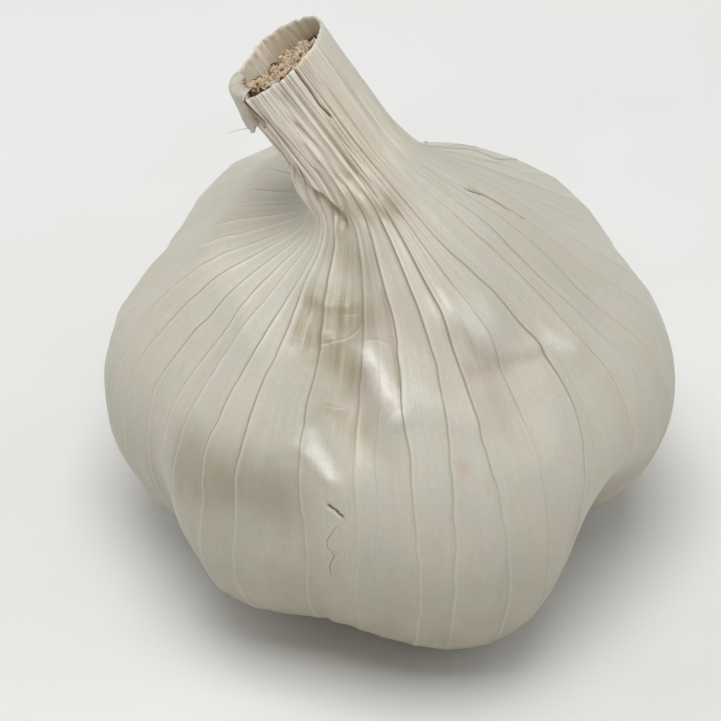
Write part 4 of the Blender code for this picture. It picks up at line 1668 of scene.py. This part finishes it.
@dataclass
class CorePiece:
    """The dried sheaths rolled inside the neck, cut across: crumpled layers with torn edges and holes."""

    shape: BulbShape
    columns: int = 264
    layers: int = 7
    layer_thickness: float = 0.24 * MM
    clearance: float = 0.34 * MM
    foot_gap: float = 0.3 * MM
    top: float = 2.15 * MM
    trough: float = 0.75 * MM
    # The cut is a little higher towards the front.
    slant: float = 0.25 * MM
    flake_density: float = 1.5e6
    flake_length: float = 0.30 * MM
    flake_width: float = 0.15 * MM
    flake_lean: float = 1.3
    flake_bow: float = 0.45
    flake_flatness: float = 0.35
    # Holes where a sheath rotted away: azimuth, radius and half width (degrees, mm, mm).
    holes: tuple = (
        (-12, 2.7, 0.95), (-163, 2.3, 0.80), (-97, 2.6, 0.75), (-51, 3.2, 0.60), (4, 1.0, 0.50),
        (-118, 3.4, 0.50), (30, 3.6, 0.50), (-140, 3.2, 0.60),
        (75, 2.4, 0.35), (140, 2.6, 0.42), (-60, 1.6, 0.36), (-110, 1.2, 0.30), (110, 3.9, 0.35),
    )
    # The gap at the near side of the rim, painted dark as shade: azimuth, half width and reach inwards.
    gap: tuple[float, float, float] = (-36, 56, 1.95 * MM)
    gap_shade: Fade = Fade(0.4, 1.0, 0.9, 0.0)
    gap_ends: Fade = Fade(0.6, 1.0, 1.0, 0.0)
    gap_wave: Wave = Wave(0.6, 34, 1.0, 66)
    gap_level: float = 0.75
    # How the layers wander (in spacings), and how their edges are tattered.
    wander: Wave = Wave(0.62, 11, 1.0, 50)
    wrinkle: Wave = Wave(0.20, 37, 1.0, 51)
    tatters: tuple[Wave, ...] = (Wave(1.0, 88, 1.0, 60), Wave(0.9, 30, 1.0, 70))
    widest: float = 6.1 * MM
    innermost_share: float = 0.4
    # The foot's rings: share of the widest, height, and which way they wander.
    foot_rings: tuple = ((0.6, 0.0, 0), (0.97, 0.0, 0), (1.0, 0.5 * MM, 1))
    # A layer's rings: share of its thickness inwards, how far below the top, shade and tatter (mm).
    layer_rings: tuple = (
        (0.0, 0.30 * MM, 0.40, 0.20),
        (0.25, 0.0, 0.0, 0.30),
        (0.75, 0.0, 0.0, 0.30),
        (1.0, 0.30 * MM, 0.45, 0.20),
    )
    # The trough between two layers: how far inwards (in spacings), its shade and its tatter.
    trough_ring: tuple[float, float, float] = (0.64, 0.85, 0.22)
    # In a hole's half widths: its wall and its painted shade; and its floor above the foot.
    hole_wall: Fade = Fade(0.55, 1.2, 1.0, 0.0)
    hole_painted_shade: Fade = Fade(0.85, 1.3, 1.0, 0.0)
    hole_floor: float = 0.6 * MM
    # How much lower the middle is than the top.
    middle_drop: float = 0.4 * MM
    flake_seed: int = 3
    # No flakes where there is more hole than this.
    flake_limit: float = 0.3

    def rings(self) -> tuple[np.ndarray, np.ndarray, np.ndarray]:
        """The core's points before the lean, with how deep in a gap and in a hole each is.

        Returns:
            Points by ring and column, and the two fields.
        """
        shape = self.shape
        turn = np.linspace(-math.pi, math.pi, self.columns, endpoint=False)
        share = turn / TAU + 0.5
        foot = shape.mouth_floor + self.foot_gap
        widest = self.widest - shape.wall - self.clearance
        spacing = widest / (self.layers + self.innermost_share)
        rings, deep = [], []

        def ring(radius: float, height: float, shade: float, wave: int, tatter: float) -> None:
            """Adds one uneven ring.

            Args:
                radius: how far out it lies.
                height: its height over the core's foot.
                shade: how deep in a gap it is, from 0 to 1.
                wave: picks the way it wanders; neighbours of a layer share it.
                tatter: how ragged it is, in millimetres.
            """
            place = radius / widest
            out = radius + spacing * place * self.wander.at(share, wave, wave)
            out = out + spacing * self.wrinkle.at(share, wave, wave)
            out = np.minimum(out, widest) * (1 - shape.bed_depth(turn) / widest)
            ragged = sum(other.at(share, wave, wave) for other in self.tatters)
            up = foot + height + tatter * MM * ragged
            high = min(height / self.top, 1)
            up = up + (self.shape.rim_rise(turn) - self.slant * np.sin(turn)) * place * high
            rings.append(np.stack([out * np.cos(turn), out * np.sin(turn), up], -1))
            deep.append(np.full_like(turn, shade))

        for share_out, height, wave in self.foot_rings:
            ring(widest * share_out, height, 1.0, wave, 0)
        inwards, trough_shade, trough_tatter = self.trough_ring
        for layer in range(self.layers):
            outer = widest - layer * spacing
            wave = 2 * layer + 1
            for share_in, drop, shade, tatter in self.layer_rings:
                ring(outer - self.layer_thickness * share_in, self.top - drop, shade, wave, tatter)
            if outer - spacing > 0:
                low = self.top - self.trough
                ring(outer - spacing * inwards, low, trough_shade, wave + 1, trough_tatter)
        points, field = np.stack(rings), np.stack(deep)
        hole = np.zeros_like(field)
        below = len(self.foot_rings)
        for azimuth, radius, half_width in self.holes:
            angle = math.radians(azimuth)
            centre = np.array([math.cos(angle), math.sin(angle)]) * radius * MM
            x, y, height = np.moveaxis(points[below:], -1, 0)
            away = np.hypot(x - centre[0], y - centre[1]) / (half_width * MM)
            sunk = self.hole_wall.at(away)
            points[below:, :, 2] = height * (1 - sunk) + (foot + self.hole_floor) * sunk
            hole[below:] = np.maximum(hole[below:], self.hole_painted_shade.at(away))
        centre, half_width, reach = self.gap
        aside = (np.degrees(turn) - centre + 180) % 360 - 180
        away = widest - np.hypot(points[..., 0], points[..., 1])
        reach = reach * (self.gap_level + self.gap_wave.at(share, 0))
        reach = reach * self.gap_ends.at(np.abs(aside) / half_width)
        # Where the gap has no reach, the divisor only has to be above 0.
        hole = np.maximum(hole, self.gap_shade.at(away / np.maximum(reach, 1e-6)))
        # The foot's rings are fully painted as shade.
        hole[:below] = 1.0
        return points, field, hole

    def flake_tree(self, values: dict[str, Any]) -> Any:
        """A geometry tree that sticks torn flakes on a surface.

        Args:
            values: the tree's inputs, by name.

        Returns:
            The tree.
        """
        tree, given, result = new_tree("torn_flakes", values)
        node = partial(add_node, tree)
        base, length, seed = given["Geometry"], given["Length"], given["Seed"]
        hole = node(READ, {"data_type": "FLOAT"}, {"Name": "hole"}).outputs["Attribute"]
        solid = node(MATH, {"operation": "LESS_THAN"}, {0: hole, 1: self.flake_limit})
        settings = {"distribute_method": "RANDOM"}
        spread = {"Mesh": base, "Density": given["Density"], "Seed": seed, "Selection": solid}
        points = node("GeometryNodeDistributePointsOnFaces", settings, spread)
        bowed = node(MATH, TIMES, {0: length, 1: self.flake_bow})
        end = node(COMBINE, {}, {"X": bowed, "Z": length})
        middle = node(COMBINE, {}, {"Z": bowed})
        spine = node(BEZIER, {}, {"Resolution": 4, "Start": (0.0, 0.0, 0.0), "Middle": middle, "End": end})
        section = node(CIRCLE, {}, {"Resolution": 6, "Radius": given["Width"]})
        thin = (self.flake_flatness, 1.0, 1.0)
        flat = node("GeometryNodeTransform", {}, {"Geometry": section, "Scale": thin})
        sweep = {"Curve": spine, "Profile Curve": flat, "Fill Caps": True}
        flake = node("GeometryNodeCurveToMesh", {}, sweep)
        spin = node(RANDOM, VECTORS, {"Min": (-1.0, -1.0, 0.0), "Max": (1.0, 1.0, TAU), "Seed": seed})
        lean = given["Lean"]
        most = node(COMBINE, {}, {"X": lean, "Y": lean, "Z": 1.0})
        leant = node(VECTOR_MATH, TIMES, {0: spin, 1: most})
        local = {"rotation_space": "LOCAL"}
        turns = {"Rotation": points.outputs["Rotation"], "Rotate By": leant}
        turned = node("FunctionNodeRotateRotation", local, turns)
        size = node(RANDOM, VECTORS, {"Min": (0.6, 0.6, 0.5), "Max": (1.3, 1.5, 1.3), "Seed": seed})
        placing = {"Points": points, "Instance": flake, "Rotation": turned, "Scale": size}
        stood = node("GeometryNodeInstanceOnPoints", {}, placing)
        joined = node("GeometryNodeJoinGeometry", {}, {0: stood})
        tree.links.new(base, joined.inputs[0])
        end_tree(tree, result, joined, given["Finish"])
        return tree

    def build(self, finish: bpy.types.Material) -> bpy.types.Object:
        """Builds and dresses the core.

        Args:
            finish: the core's material.

        Returns:
            The finished piece.
        """
        points, deep, hole = self.rings()
        shape = self.shape
        foot = shape.mouth_floor + self.foot_gap
        start = shape.bend(np.array([[0.0, 0.0, foot]]))[0]
        end = shape.bend(np.array([[0.0, 0.0, foot + self.top - self.middle_drop]]))[0]
        mesh = ring_mesh("dried_core", shape.bend(points), start, end, {"deep": deep, "hole": hole})
        piece = show(mesh, "dried_core")
        values = {
            "Density": self.flake_density,
            "Length": self.flake_length,
            "Width": self.flake_width,
            "Lean": self.flake_lean,
            "Seed": self.flake_seed,
            "Finish": finish,
        }
        grow(piece, self.flake_tree(values), values)
        wear(piece, finish)
        return hand_over(piece, Slot.CORE, "neck_core")


@dataclass
class SheathPiece:
    """The scrap of the outermost leaf round the left of the neck.

    Its front edge is torn at a slant, its hem is torn off below and stands off the neck, and its top is
    folded over the rim.
    """

    shape: BulbShape
    columns: int = 150
    rows: int = 34
    over_rows: int = 14
    thickness: float = 0.18 * MM
    rim_thickness: float = 0.28 * MM
    fold_gap: float = 0.06 * MM
    fold_depth: float = 0.35 * MM
    fold_reach: float = 1.15 * MM
    back_drop: float = 0.45 * MM
    # The torn front edge: azimuth in degrees by outline position, from its foot to the rim.
    tear_positions: tuple[float, ...] = (10.3, 10.48, 10.60, 10.74, 10.88, 11.0)
    tear_azimuths: tuple[float, ...] = (241.5, 241.2, 239.6, 238.6, 237.2, 236.0)
    # The hem: outline position, and how far it stands off (mm), by the share of the way round.
    hem_shares: tuple[float, ...] = (0.0, 0.12, 0.30, 0.46, 0.58, 0.68, 0.80, 0.91, 1.0)
    hem_positions: tuple[float, ...] = (10.80, 10.66, 10.60, 10.53, 10.44, 10.36, 10.40, 10.45, 10.48)
    hem_stand_off: tuple[float, ...] = (0.0, 0.1, 0.3, 0.5, 0.85, 0.95, 0.65, 0.3, 0.0)
    tip_share: float = 0.66
    # The hem's raggedness, in outline positions, which ends at the front edge.
    hem_waves: tuple[Wave, ...] = (Wave(0.05, 17, 1.0, 3), Wave(0.03, 53, 1.0, 4))
    hem_end: Fade = Fade(0.0, 0.05)
    # The torn edge's raggedness: degrees, bumps and seed.
    tear_wave: tuple[float, float, int] = (0.5, 9, 5)
    # How it stands off (mm): flat at the back, turned up in front, curled, wrinkled, creased, pleated.
    stand_off: float = 0.20
    loose: float = 0.08
    lying: Fade = Fade(0.0, 0.3)
    turned_up: Fade = Fade(0.975, 1.0, 0.0, 0.08)
    pressed: Fade = Fade(0.90, 1.0, 0.0, 0.10)
    curl_shares: tuple[float, float] = (0.25, 0.75)
    wrinkle: Wave = Wave(0.09, 29, 0.25, 6)
    wrinkle_least: float = 0.4
    crease_depth: float = 0.30
    crease_line: tuple[float, float, float] = (0.90, 0.06, 0.022)
    crease_end: Fade = Fade(0.1, 0.5)
    pleat_height: float = 0.06
    pleat_count: int = 15
    pleat_shift: Wave = Wave(1.5, 6, 1.0, 9)
    back_fade: Fade = Fade(0.05, 0.45, 1.0, 0.0)
    # Where it browned: the front edge, the hem, and the fold's inner edge on the left.
    margin: Fade = Fade(0.93, 0.97)
    margin_up: Fade = Fade(0.0, 0.4, 0.5, 1.0)
    hem_brown: Fade = Fade(0.0, 0.05, 0.25, 0.0)
    fold_left: Fade = Fade(0.35, 0.55)
    fold_brown_power: int = 7
    shade_down: Fade = Fade(0.15, 0.8)
    shade_across: Fade = Fade(0.74, 0.9)
    # The fold over the rim: where it is full, its least, its turn, and how it hangs.
    fold_from: Fade = Fade(0.22, 0.42)
    fold_to: Fade = Fade(0.94, 1.0, 1.0, 0.0)
    fold_least: float = 0.12
    fold_turn: float = math.pi * 0.72
    fold_wave: Wave = Wave(0.1, 23, 1.0, 14)
    thread_length: float = 2.3 * MM
    thread_radius: float = 0.035 * MM
    thread_points: int = 9
    # The fibre's drop and bend, by its length, and how much thinner it ends.
    thread_drop: tuple[float, float] = (0.10, 0.22)
    thread_taper: float = 0.5

    def grid(self) -> tuple[np.ndarray, dict[str, np.ndarray]]:
        """The scrap's points, with its browned edge and its shaded places.

        Returns:
            Points by row and column, and the fields.
        """
        shape = self.shape
        across = np.linspace(0, 1, self.columns)[None, :]
        up = np.linspace(0, 1, self.rows)[:, None]
        ragged = sum(wave.at(across, 0) for wave in self.hem_waves) * self.hem_end.at(1 - across)
        hem = np.interp(across, self.hem_shares, self.hem_positions) + ragged
        position = hem + (shape.last - hem) * up
        tear = np.interp(position, self.tear_positions, self.tear_azimuths)
        degrees, bumps, seed = self.tear_wave
        tear = tear + degrees * ripple(position * bumps, 0, seed)
        first = math.degrees(shape.scrap_from)
        azimuth = np.radians(first + (tear - first) * across)
        down = 1 - up
        first_share, second_share = self.curl_shares
        curl = np.interp(across, self.hem_shares, self.hem_stand_off)
        curl = curl * (first_share * down + second_share * down**2)
        wrinkle = self.wrinkle.at(across, up) * (self.wrinkle_least + down)
        middle, slant, half_width = self.crease_line
        crease = np.exp(-(((across - middle - slant * up) / half_width) ** 2)) * self.crease_end.at(down)
        pleat = np.cos(across * TAU * self.pleat_count + self.pleat_shift.at(across, 0))
        folds = self.loose + curl + wrinkle - self.crease_depth * crease + self.pleat_height * pleat
        stand_off = self.stand_off + (folds + self.turned_up.at(across)) * self.lying.at(across)
        stand_off = stand_off - self.pressed.at(across)
        outer = shape.place(position, azimuth, stand_off * MM)
        outer[..., 2] -= self.back_drop * self.back_fade.at(across) * up
        over = self.fold_over(outer[-1])
        margin = self.margin.at(across) * self.margin_up.at(up)
        edge = np.maximum(margin, self.hem_brown.at(up))
        folded = np.linspace(0, 1, self.over_rows)[:, None]
        inner_edge = folded**self.fold_brown_power * self.fold_left.at(across)
        shade = self.shade_down.at(down) * self.shade_across.at(across)
        fields = {
            "edge": np.concatenate([edge, inner_edge]),
            "shade": np.concatenate([shade, 0 * inner_edge]),
        }
        return shape.bend(np.concatenate([outer, over])), fields

    def fold_over(self, brim: np.ndarray) -> np.ndarray:
        """The rows that go over the rim and a little way down inside it.

        Args:
            brim: the scrap's points beside the rim.

        Returns:
            Points by row and column.
        """
        across = np.linspace(0, 1, self.columns)
        full = self.fold_from.at(across) * self.fold_to.at(across)
        folded = self.fold_least + (1 - self.fold_least) * full
        radius = np.hypot(brim[:, 0], brim[:, 1])
        unit = brim[:, :2] / radius[:, None]
        half = 0.5 * (self.rim_thickness + self.thickness) + self.fold_gap
        rows = []
        for k in range(1, self.over_rows + 1):
            share = k / self.over_rows
            # The first half of the rows turns over the rim, and the second half hangs.
            turned = folded * self.fold_turn * min(2 * share, 1)
            hanging = folded * max(2 * share - 1, 0) * (1 + self.fold_wave.at(across, 0))
            down = self.fold_depth * hanging
            out = radius - half * (1 - np.cos(turned)) - self.fold_reach * hanging
            rows.append(np.column_stack([unit * out[:, None], brim[:, 2] + half * np.sin(turned) - down]))
        return np.stack(rows)

    def thread(self, start: np.ndarray) -> bpy.types.Object:
        """A single torn fibre that sticks out from the hem.

        Args:
            start: where it leaves the hem.

        Returns:
            Its object.
        """
        data = bpy.data.curves.new("torn_fibre", "CURVE")
        data.dimensions = "3D"
        data.bevel_depth = self.thread_radius
        data.bevel_resolution = 1
        data.use_fill_caps = True
        spline = data.splines.new("POLY")
        straight, bent = self.thread_drop
        spline.points.add(self.thread_points - 1)
        for i, point in enumerate(spline.points):
            share = i / (self.thread_points - 1)
            side, drop = share * self.thread_length, (straight * share + bent * share**2) * self.thread_length
            point.co = (start[0] - side, start[1], start[2] - drop, 1.0)
            point.radius = 1.0 - self.thread_taper * share
        return show(data, "torn_fibre")

    def build(self, finish: bpy.types.Material) -> bpy.types.Object:
        """Builds and dresses the scrap.

        Args:
            finish: the scrap's material.

        Returns:
            The finished piece.
        """
        grid, fields = self.grid()
        piece = show(strip_mesh("torn_leaf", grid, fields), "torn_leaf")
        wall = piece.modifiers.new("wall", "SOLIDIFY")
        wall.thickness = self.thickness
        wall.offset = 0.0
        wall.use_even_offset = False
        settle(piece)
        wear(piece, finish)
        tip = int(self.tip_share * (self.columns - 1))
        fibre = self.thread(grid[0, tip])
        join_pieces(piece, fibre)
        return hand_over(piece, Slot.SHEATH, "torn_sheath")


@dataclass
class RootPiece:
    """The root plate with its clipped roots."""

    shape: BulbShape
    columns: int = 120
    rest_radius: float = 6.0 * MM
    # A root's middle and end, by its reach, its taper, where its cut face begins, and its crooks' size.
    middle: tuple[float, float, float] = (0.6, 0.0, -0.014)
    end: tuple[float, float, float] = (1.0, 0.0, -0.14)
    taper: float = 0.62
    cut_from: float = 0.92
    crook_size: float = 0.7 * MM
    # How far the roots begin inside the flat's edge.
    overlap: float = 1.5 * MM
    # Only the flat touches the table; all else is at least this high.
    clear: float = 0.02 * MM
    top: float = 3.3 * MM
    unevenness: float = 0.35 * MM
    # Rows of roots: how many, their height on the plate, how far out they reach, and their radius.
    rows: tuple = (
        (23, 1.45 * MM, 8.5 * MM, 0.42 * MM),
        (18, 1.05 * MM, 7.9 * MM, 0.36 * MM),
        (26, 0.75 * MM, 7.1 * MM, 0.28 * MM),
    )
    # The disc's edge outside the flat: radius and height in millimetres.
    edge: tuple = ((6.35, 0.35), (6.75, 0.9), (7.0, 1.5), (7.0, 2.2), (6.9, 2.9), (6.6, 3.3), (3.0, 3.3))
    flat_rings: int = 22
    # Root scars: bumps by ring and their least, step from ring to ring, seed, level and depth (mm).
    scars: float = 3.6
    scars_least: int = 5
    scar_step: float = 0.55
    scar_seed: int = 80
    scar_level: float = 0.15
    scar_depth: float = 0.45
    rim_wave: Wave = Wave(0.14, 40, 1.0, 90)
    middle_height: float = 0.1 * MM

    def plate(self) -> bpy.types.Mesh:
        """The disc itself: worn flat below, with old root scars, and an uneven rim.

        Returns:
            Its mesh, with the field that tells where a root is cut.
        """
        turn = np.linspace(-math.pi, math.pi, self.columns, endpoint=False)
        share = turn / TAU + 0.5
        rings = []
        for i in range(1, self.flat_rings):
            radius = self.rest_radius * i / self.flat_rings
            # Scars are as big near the middle as near the edge.
            cells = max(int(self.scars * i), self.scars_least)
            rough = ripple(share * cells, i * self.scar_step, self.scar_seed, cells)
            up = np.maximum(rough - self.scar_level, 0) * self.scar_depth * MM
            rings.append(np.stack([radius * np.cos(turn), radius * np.sin(turn), up], -1))
        radius = self.rest_radius
        rings.append(np.stack([radius * np.cos(turn), radius * np.sin(turn), 0 * turn], -1))
        for i, (radius, height) in enumerate(self.edge):
            out = (radius - np.abs(self.rim_wave.at(share, i, i))) * MM
            rings.append(np.stack([out * np.cos(turn), out * np.sin(turn), 0 * turn + height * MM], -1))
        points = np.stack(rings)
        none = {"cut": np.zeros(points.shape[:2])}
        return ring_mesh("root_base", points, (0, 0, self.middle_height), (0, 0, self.top), none)

    def root_tree(self, values: dict[str, Any]) -> Any:
        """A geometry tree that sets clipped roots round a ring and joins them to the plate.

        Args:
            values: the tree's inputs, by name.

        Returns:
            The tree.
        """
        tree, given, result = new_tree("clipped_roots", values)
        node = partial(add_node, tree)
        start, seed = given["Start radius"], given["Seed"]
        ring = node("GeometryNodeMeshCircle", {}, {"Vertices": given["Count"], "Radius": start})
        height = node(COMBINE, {}, {"Z": given["Height"]})
        lifted = node(SET_POSITION, {}, {"Geometry": ring, "Offset": height})
        reach = node(MATH, MINUS, {0: given["Reach"], 1: start})
        far = node(VECTOR_MATH, SCALED, {0: self.end, "Scale": reach})
        half_way = node(VECTOR_MATH, SCALED, {0: self.middle, "Scale": reach})
        spine = node(BEZIER, {}, {"Resolution": 9, "Start": (0.0, 0.0, 0.0), "Middle": half_way, "End": far})
        along = node("GeometryNodeSplineParameter").outputs["Factor"]
        taper = node(MAP_RANGE, {}, {"Value": along, "To Min": 1.0, "To Max": self.taper})
        cut = node(MAP_RANGE, {}, {"Value": along, "From Min": self.cut_from})
        kept = {"Geometry": spine, "Name": "cut", "Value": cut}
        marked = node("GeometryNodeStoreNamedAttribute", {"data_type": "FLOAT", "domain": "POINT"}, kept)
        section = node(CIRCLE, {}, {"Resolution": 9, "Radius": given["Root radius"]})
        sweep = {"Curve": marked, "Profile Curve": section, "Scale": taper, "Fill Caps": True}
        stub = node("GeometryNodeCurveToMesh", {}, sweep)
        place = node("GeometryNodeInputPosition")
        level = node(VECTOR_MATH, TIMES, {0: place, 1: (1.0, 1.0, 0.0)})
        axes = {"axis": "X", "pivot_axis": "Z"}
        outward = node("FunctionNodeAlignRotationToVector", axes, {"Vector": level})
        jitter = node(RANDOM, VECTORS, {"Min": (-1.0, -0.10, -0.22), "Max": (1.0, 0.16, 0.22), "Seed": seed})
        local = {"rotation_space": "LOCAL"}
        turned = node("FunctionNodeRotateRotation", local, {"Rotation": outward, "Rotate By": jitter})
        size = node(RANDOM, VECTORS, {"Min": (0.72, 0.8, 0.8), "Max": (1.12, 1.15, 1.1), "Seed": seed})
        placing = {"Points": lifted, "Instance": stub, "Rotation": turned, "Scale": size}
        stood = node("GeometryNodeInstanceOnPoints", {}, placing)
        whole = node("GeometryNodeRealizeInstances", {}, {"Geometry": stood})
        rough = node(NOISE, {}, {"Scale": 1 / self.crook_size, "Detail": 2.0}).outputs["Color"]
        centred = node(VECTOR_MATH, MINUS, {0: rough, 1: (0.5, 0.5, 0.5)})
        shaken = node(VECTOR_MATH, SCALED, {0: centred, "Scale": given["Unevenness"]})
        crooked = node(SET_POSITION, {}, {"Geometry": whole, "Offset": shaken})
        smooth = node("GeometryNodeSetShadeSmooth", {}, {"Geometry": crooked})
        dressed = node("GeometryNodeSetMaterial", {}, {"Geometry": smooth, "Material": given["Finish"]})
        joined = node("GeometryNodeJoinGeometry", {}, {0: dressed})
        tree.links.new(given["Geometry"], joined.inputs[0])
        tree.links.new(joined.outputs[0], result.inputs["Geometry"])
        return tree

    def build(self, cork: bpy.types.Material, straw: bpy.types.Material) -> bpy.types.Object:
        """Builds and dresses the root plate.

        Args:
            cork: the disc's material.
            straw: the roots' material.

        Returns:
            The finished piece.
        """
        piece = show(self.plate(), "root_base")
        wear(piece, cork)
        rows = [
            {
                "Count": count,
                "Start radius": self.rest_radius - self.overlap,
                "Height": height,
                "Reach": reach,
                "Root radius": radius,
                "Unevenness": self.unevenness,
                "Seed": row + 1,
                "Finish": straw,
            }
            for row, (count, height, reach, radius) in enumerate(self.rows)
        ]
        tree = self.root_tree(rows[0])
        for values in rows:
            grow(piece, tree, values)
        for vertex in piece.data.vertices:
            lowest = 0.0 if vertex.co.xy.length < self.rest_radius else self.clear
            vertex.co.z = max(vertex.co.z, lowest)
        return hand_over(piece, Slot.ROOTS, "root_plate")


@dataclass(frozen=True)
class Lamp:
    """A square soft lamp: its name, where it stands and its side (m), and its power (W)."""

    name: str
    place: tuple[float, float, float]
    side: float
    power: float


@dataclass
class Studio:
    """White card, soft light from above, and the camera."""

    elevation: float = math.radians(43.46)
    distance: float = 0.4123
    lens: float = 191.9
    sensor: float = 36.0
    clip: tuple[float, float] = (0.01, 10.0)
    aim: Vector = Vector((0, 0, 20 * MM))
    aim_right: float = -2.95 * MM
    aim_up: float = 2.03 * MM
    card_half: float = 3.0
    surroundings: str = "F6F7F8"
    surroundings_strength: float = 0.30
    lamps: tuple[Lamp, ...] = (
        Lamp("key", (-0.02, -0.16, 0.89), 0.5, 4.6),
        Lamp("fill", (0.60, -0.20, 0.65), 0.7, 0.8),
        Lamp("back", (-0.50, 0.30, 0.62), 0.6, 1.1),
    )

    def camera(self) -> None:
        """Sets up the camera at the photograph's angle."""
        up = Vector((0, math.sin(self.elevation), math.cos(self.elevation)))
        back = Vector((0, -math.cos(self.elevation), math.sin(self.elevation)))
        data = bpy.data.cameras.new("camera")
        data.lens, data.sensor_width = self.lens, self.sensor
        data.clip_start, data.clip_end = self.clip
        camera = bpy.data.objects.new("camera", data)
        aim = self.aim + Vector((1, 0, 0)) * self.aim_right + up * self.aim_up
        camera.location = aim + back * self.distance
        camera.rotation_mode = "QUATERNION"
        camera.rotation_quaternion = (-back).to_track_quat("-Z", "Y")
        bpy.context.scene.collection.objects.link(camera)
        bpy.context.scene.camera = camera

    def light(self, lamp: Lamp) -> None:
        """Stands a lamp that faces the bulb.

        Args:
            lamp: the lamp's sizes.
        """
        data = bpy.data.lights.new(lamp.name, "AREA")
        data.shape, data.size, data.energy = "SQUARE", lamp.side, lamp.power
        stand = bpy.data.objects.new(lamp.name, data)
        stand.location = lamp.place
        stand.rotation_mode = "QUATERNION"
        stand.rotation_quaternion = (Vector(lamp.place) - self.aim).to_track_quat("Z", "Y")
        bpy.context.scene.collection.objects.link(stand)

    def build(self, finish: bpy.types.Material) -> None:
        """Sets up the card, the lamps, the surroundings and the camera.

        Args:
            finish: the card's material.
        """
        half = self.card_half
        corners = [(-half, -half, 0), (half, -half, 0), (half, half, 0), (-half, half, 0)]
        mesh = bpy.data.meshes.new("card")
        mesh.from_pydata(corners, [], [(0, 1, 2, 3)])
        card = show(mesh, "card")
        wear(card, finish)
        for lamp in self.lamps:
            self.light(lamp)
        world = bpy.data.worlds.new("soft_surroundings")
        world.use_nodes = True
        sky = world.node_tree.nodes["Background"]
        sky.inputs["Color"].default_value = linear(self.surroundings)
        sky.inputs["Strength"].default_value = self.surroundings_strength
        bpy.context.scene.world = world
        bpy.context.scene.view_settings.view_transform = "Standard"
        self.camera()


def main() -> None:
    """Builds every piece in order."""
    logging.basicConfig(level=logging.INFO, format="%(name)s %(message)s")
    shape = BulbShape()
    SkinPiece(shape).build(PaperySkin().material())
    CorePiece(shape).build(DriedSheath().material())
    SheathPiece(shape).build(TornLeaf().material())
    RootPiece(shape).build(CorkyBase().material(), DryRoot().material())
    Studio().build(MattBoard().material())


if __name__ == "__main__":
    main()
